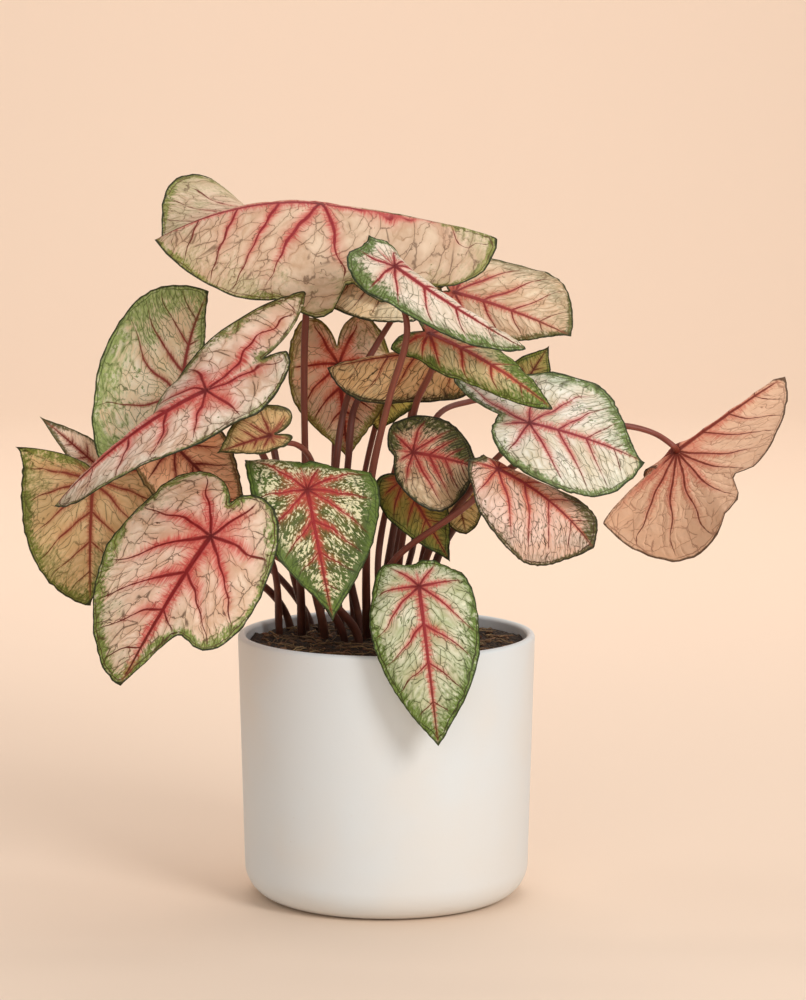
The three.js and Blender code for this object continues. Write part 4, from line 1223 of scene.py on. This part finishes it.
def add_floor(settings):
    """A floor that bends up into a backdrop far behind the plant: a quarter circle between two
    planes, as wide to the left as to the right."""
    near, turn, radius, half_width = (-8.0, 0.0), 2.9, 1.6, 8.0
    bend = arc(turn, radius, radius, -90, 0, 24)
    line = np.concatenate([[near], bend, [[turn + radius, 5.0]]])
    x = np.broadcast_to((-half_width, half_width), (len(line), 2))
    y, z = (np.broadcast_to(line[:, k, None], x.shape) for k in range(2))
    row = 2 * np.arange(len(line) - 1)
    faces = np.stack([row, row + 1, row + 3, row + 2], -1)
    floor = make_mesh("floor", np.stack([x, y, z], -1).reshape(-1, 3) / MM, [faces])
    f = Finish("floor_finish")
    cloud = f.noise(f.place(), 1.2, 2)
    f.feed(
        Base_Color=f.mix(cloud * 0.12, settings.floor, 0xEFCFC0),
        Roughness=0.7 + cloud * 0.1,
    )
    floor.data.materials.append(f.material)


def facing(place, way):
    """A matrix at place whose -Z looks along way, with its X level."""
    way = np.array(way, float) / np.linalg.norm(way)
    across = np.cross(way, (0, 0, 1.0))
    across /= np.linalg.norm(across)
    above = np.cross(across, way)
    columns = np.stack([across, above, -way, np.array(place, float)], 1)
    return Matrix([*columns.tolist(), [0, 0, 0, 1]])


def add_lights(settings):
    """Four round area lights, as (name, place, target, power, size, colour), and a pale world."""
    white, plant = 0xFFFFFF, (0, 0, 0.25)
    lights = (
        ("key_light", (1.15, -1.6, 1.15), plant, settings.key, 0.8, white),
        ("fill_light", (-0.5, -2.1, 0.8), plant, settings.fill, 1.6, white),
        ("top_light", (0.2, 0.1, 1.9), (0, 0, 0.2), settings.top, 1.2, white),
        ("wall_light", (0, 1.4, 2.6), (0, 3.7, 0.6), settings.wall, 2.0, 0xFFF4EE),
    )
    for name, place, target, power, size, colour in lights:
        data = bpy.data.lights.new(name, "AREA")
        data.energy, data.shape, data.size, data.color = power, "DISK", size, linear(colour)
        light = bpy.data.objects.new(name, data)
        light.matrix_world = facing(place, np.array(target) - np.array(place))
        bpy.context.scene.collection.objects.link(light)
    world = bpy.data.worlds.new("pale_world")
    world.use_nodes = True
    background = world.node_tree.nodes["Background"]
    background.inputs["Color"].default_value = (*linear(0xF6F2EE), 1)
    background.inputs["Strength"].default_value = 0.45
    bpy.context.scene.world = world


def add_camera(scene):
    """The view: 3600 px focal length, 2.2 m from a point 80 mm up, looking 11.4 degrees down,
    then turned so that this point is 16.6 px left of the middle and 263.8 px under it, in a
    picture 1000 px high."""
    focal, picture_height, left, under = 3600.0, 1000, 16.6, 263.8
    distance, look_down, target = 2.2, math.radians(11.4), np.array([0, 0, 0.08])
    lift, turn = math.atan(under / focal), math.atan(left / focal)
    back = np.array([0, -math.cos(look_down), math.sin(look_down)])
    up = np.array([0, math.sin(look_down), math.cos(look_down)])
    right = np.array([1.0, 0, 0])
    ahead = -back * math.cos(lift) + up * math.sin(lift)
    above = up * math.cos(lift) + back * math.sin(lift)
    view = ahead * math.cos(turn) + right * math.sin(turn)
    side = right * math.cos(turn) - ahead * math.sin(turn)
    data = bpy.data.cameras.new("camera")
    data.sensor_width = 36
    data.lens = focal * data.sensor_width / picture_height
    data.clip_end = 50
    camera = bpy.data.objects.new("camera", data)
    columns = np.stack([side, above, -view, target + distance * back], 1)
    camera.matrix_world = Matrix([*columns.tolist(), [0, 0, 0, 1]])
    scene.collection.objects.link(camera)
    scene.camera = camera


# ---- operators ----


class CALADIUM_OT_blades(bpy.types.Operator):
    """Build the 24 leaf blades"""

    bl_idname = "caladium.blades"
    bl_label = "Leaf blades"

    def execute(self, context):
        settings = context.scene.caladium_blades
        for blade in BLADES:
            piece = blade_piece(blade, settings)
            settle(piece, [f"leaf_{blade.name}"], leaf_finish(blade, settings))
        return {"FINISHED"}


class CALADIUM_OT_stalks(bpy.types.Operator):
    """Build the 24 leaf stalks"""

    bl_idname = "caladium.stalks"
    bl_label = "Leaf stalks"

    def execute(self, context):
        settings = context.scene.caladium_stalks
        for blade in BLADES:
            piece = stalk_piece(blade, settings)
            settle(piece, [f"petiole_{blade.name}"], stalk_finish(blade, settings))
        return {"FINISHED"}


class CALADIUM_OT_pot(bpy.types.Operator):
    """Build the round white pot"""

    bl_idname = "caladium.pot"
    bl_label = "Pot"

    def execute(self, context):
        settings = context.scene.caladium_pot
        piece = make_mesh("white_pot", *lathe(pot_profile(settings), 192))
        settle(piece, ["pot"], pot_finish(settings))
        return {"FINISHED"}


class CALADIUM_OT_soil(bpy.types.Operator):
    """Build the soil, the bark chips and the fibres"""

    bl_idname = "caladium.soil"
    bl_label = "Soil"

    def execute(self, context):
        settings = context.scene.caladium_soil
        bark = litter_finish("bark_finish", 0x2A1B12, 0x8A6444, 260.0)
        thread = litter_finish("fibre_finish", 0x3A2618, 0xA88A60, 900.0)
        settle(soil_piece(), ["soil"], soil_finish(settings))
        settle(chips_piece(settings), [], bark)
        settle(fibres_piece(settings), [], thread)
        return {"FINISHED"}


class CALADIUM_OT_stage(bpy.types.Operator):
    """Build the floor, the lights and the camera"""

    bl_idname = "caladium.stage"
    bl_label = "Floor, lights and camera"

    def execute(self, context):
        settings = context.scene.caladium_stage
        add_floor(settings)
        add_lights(settings)
        add_camera(context.scene)
        return {"FINISHED"}


class CALADIUM_PT_panel(bpy.types.Panel):
    """The sidebar panel that lists the steps and their settings"""

    bl_label = "Caladium"
    bl_idname = "CALADIUM_PT_panel"
    bl_space_type = "VIEW_3D"
    bl_region_type = "UI"
    bl_category = "Caladium"

    def draw(self, context):
        for key, (group, operator) in STEPS.items():
            box = self.layout.box()
            box.operator(operator.bl_idname)
            for name in group.__annotations__:
                box.prop(getattr(context.scene, key), name)


STEPS = {
    "caladium_stage": (StageSettings, CALADIUM_OT_stage),
    "caladium_pot": (PotSettings, CALADIUM_OT_pot),
    "caladium_soil": (SoilSettings, CALADIUM_OT_soil),
    "caladium_stalks": (StalkSettings, CALADIUM_OT_stalks),
    "caladium_blades": (BladeSettings, CALADIUM_OT_blades),
}
CLASSES = (*(item for step in STEPS.values() for item in step), CALADIUM_PT_panel)


def register():
    for item in CLASSES:
        bpy.utils.register_class(item)
    for key, (group, _) in STEPS.items():
        setattr(bpy.types.Scene, key, bpy.props.PointerProperty(type=group))


def unregister():
    for key in STEPS:
        delattr(bpy.types.Scene, key)
    for item in reversed(CLASSES):
        bpy.utils.unregister_class(item)


def main():
    """Builds every piece and the stage."""
    register()
    bpy.context.scene.view_settings.view_transform = "Standard"
    bpy.ops.caladium.stage()
    bpy.ops.caladium.pot()
    bpy.ops.caladium.soil()
    bpy.ops.caladium.stalks()
    bpy.ops.caladium.blades()
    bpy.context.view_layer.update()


if __name__ == "__main__":
    main()
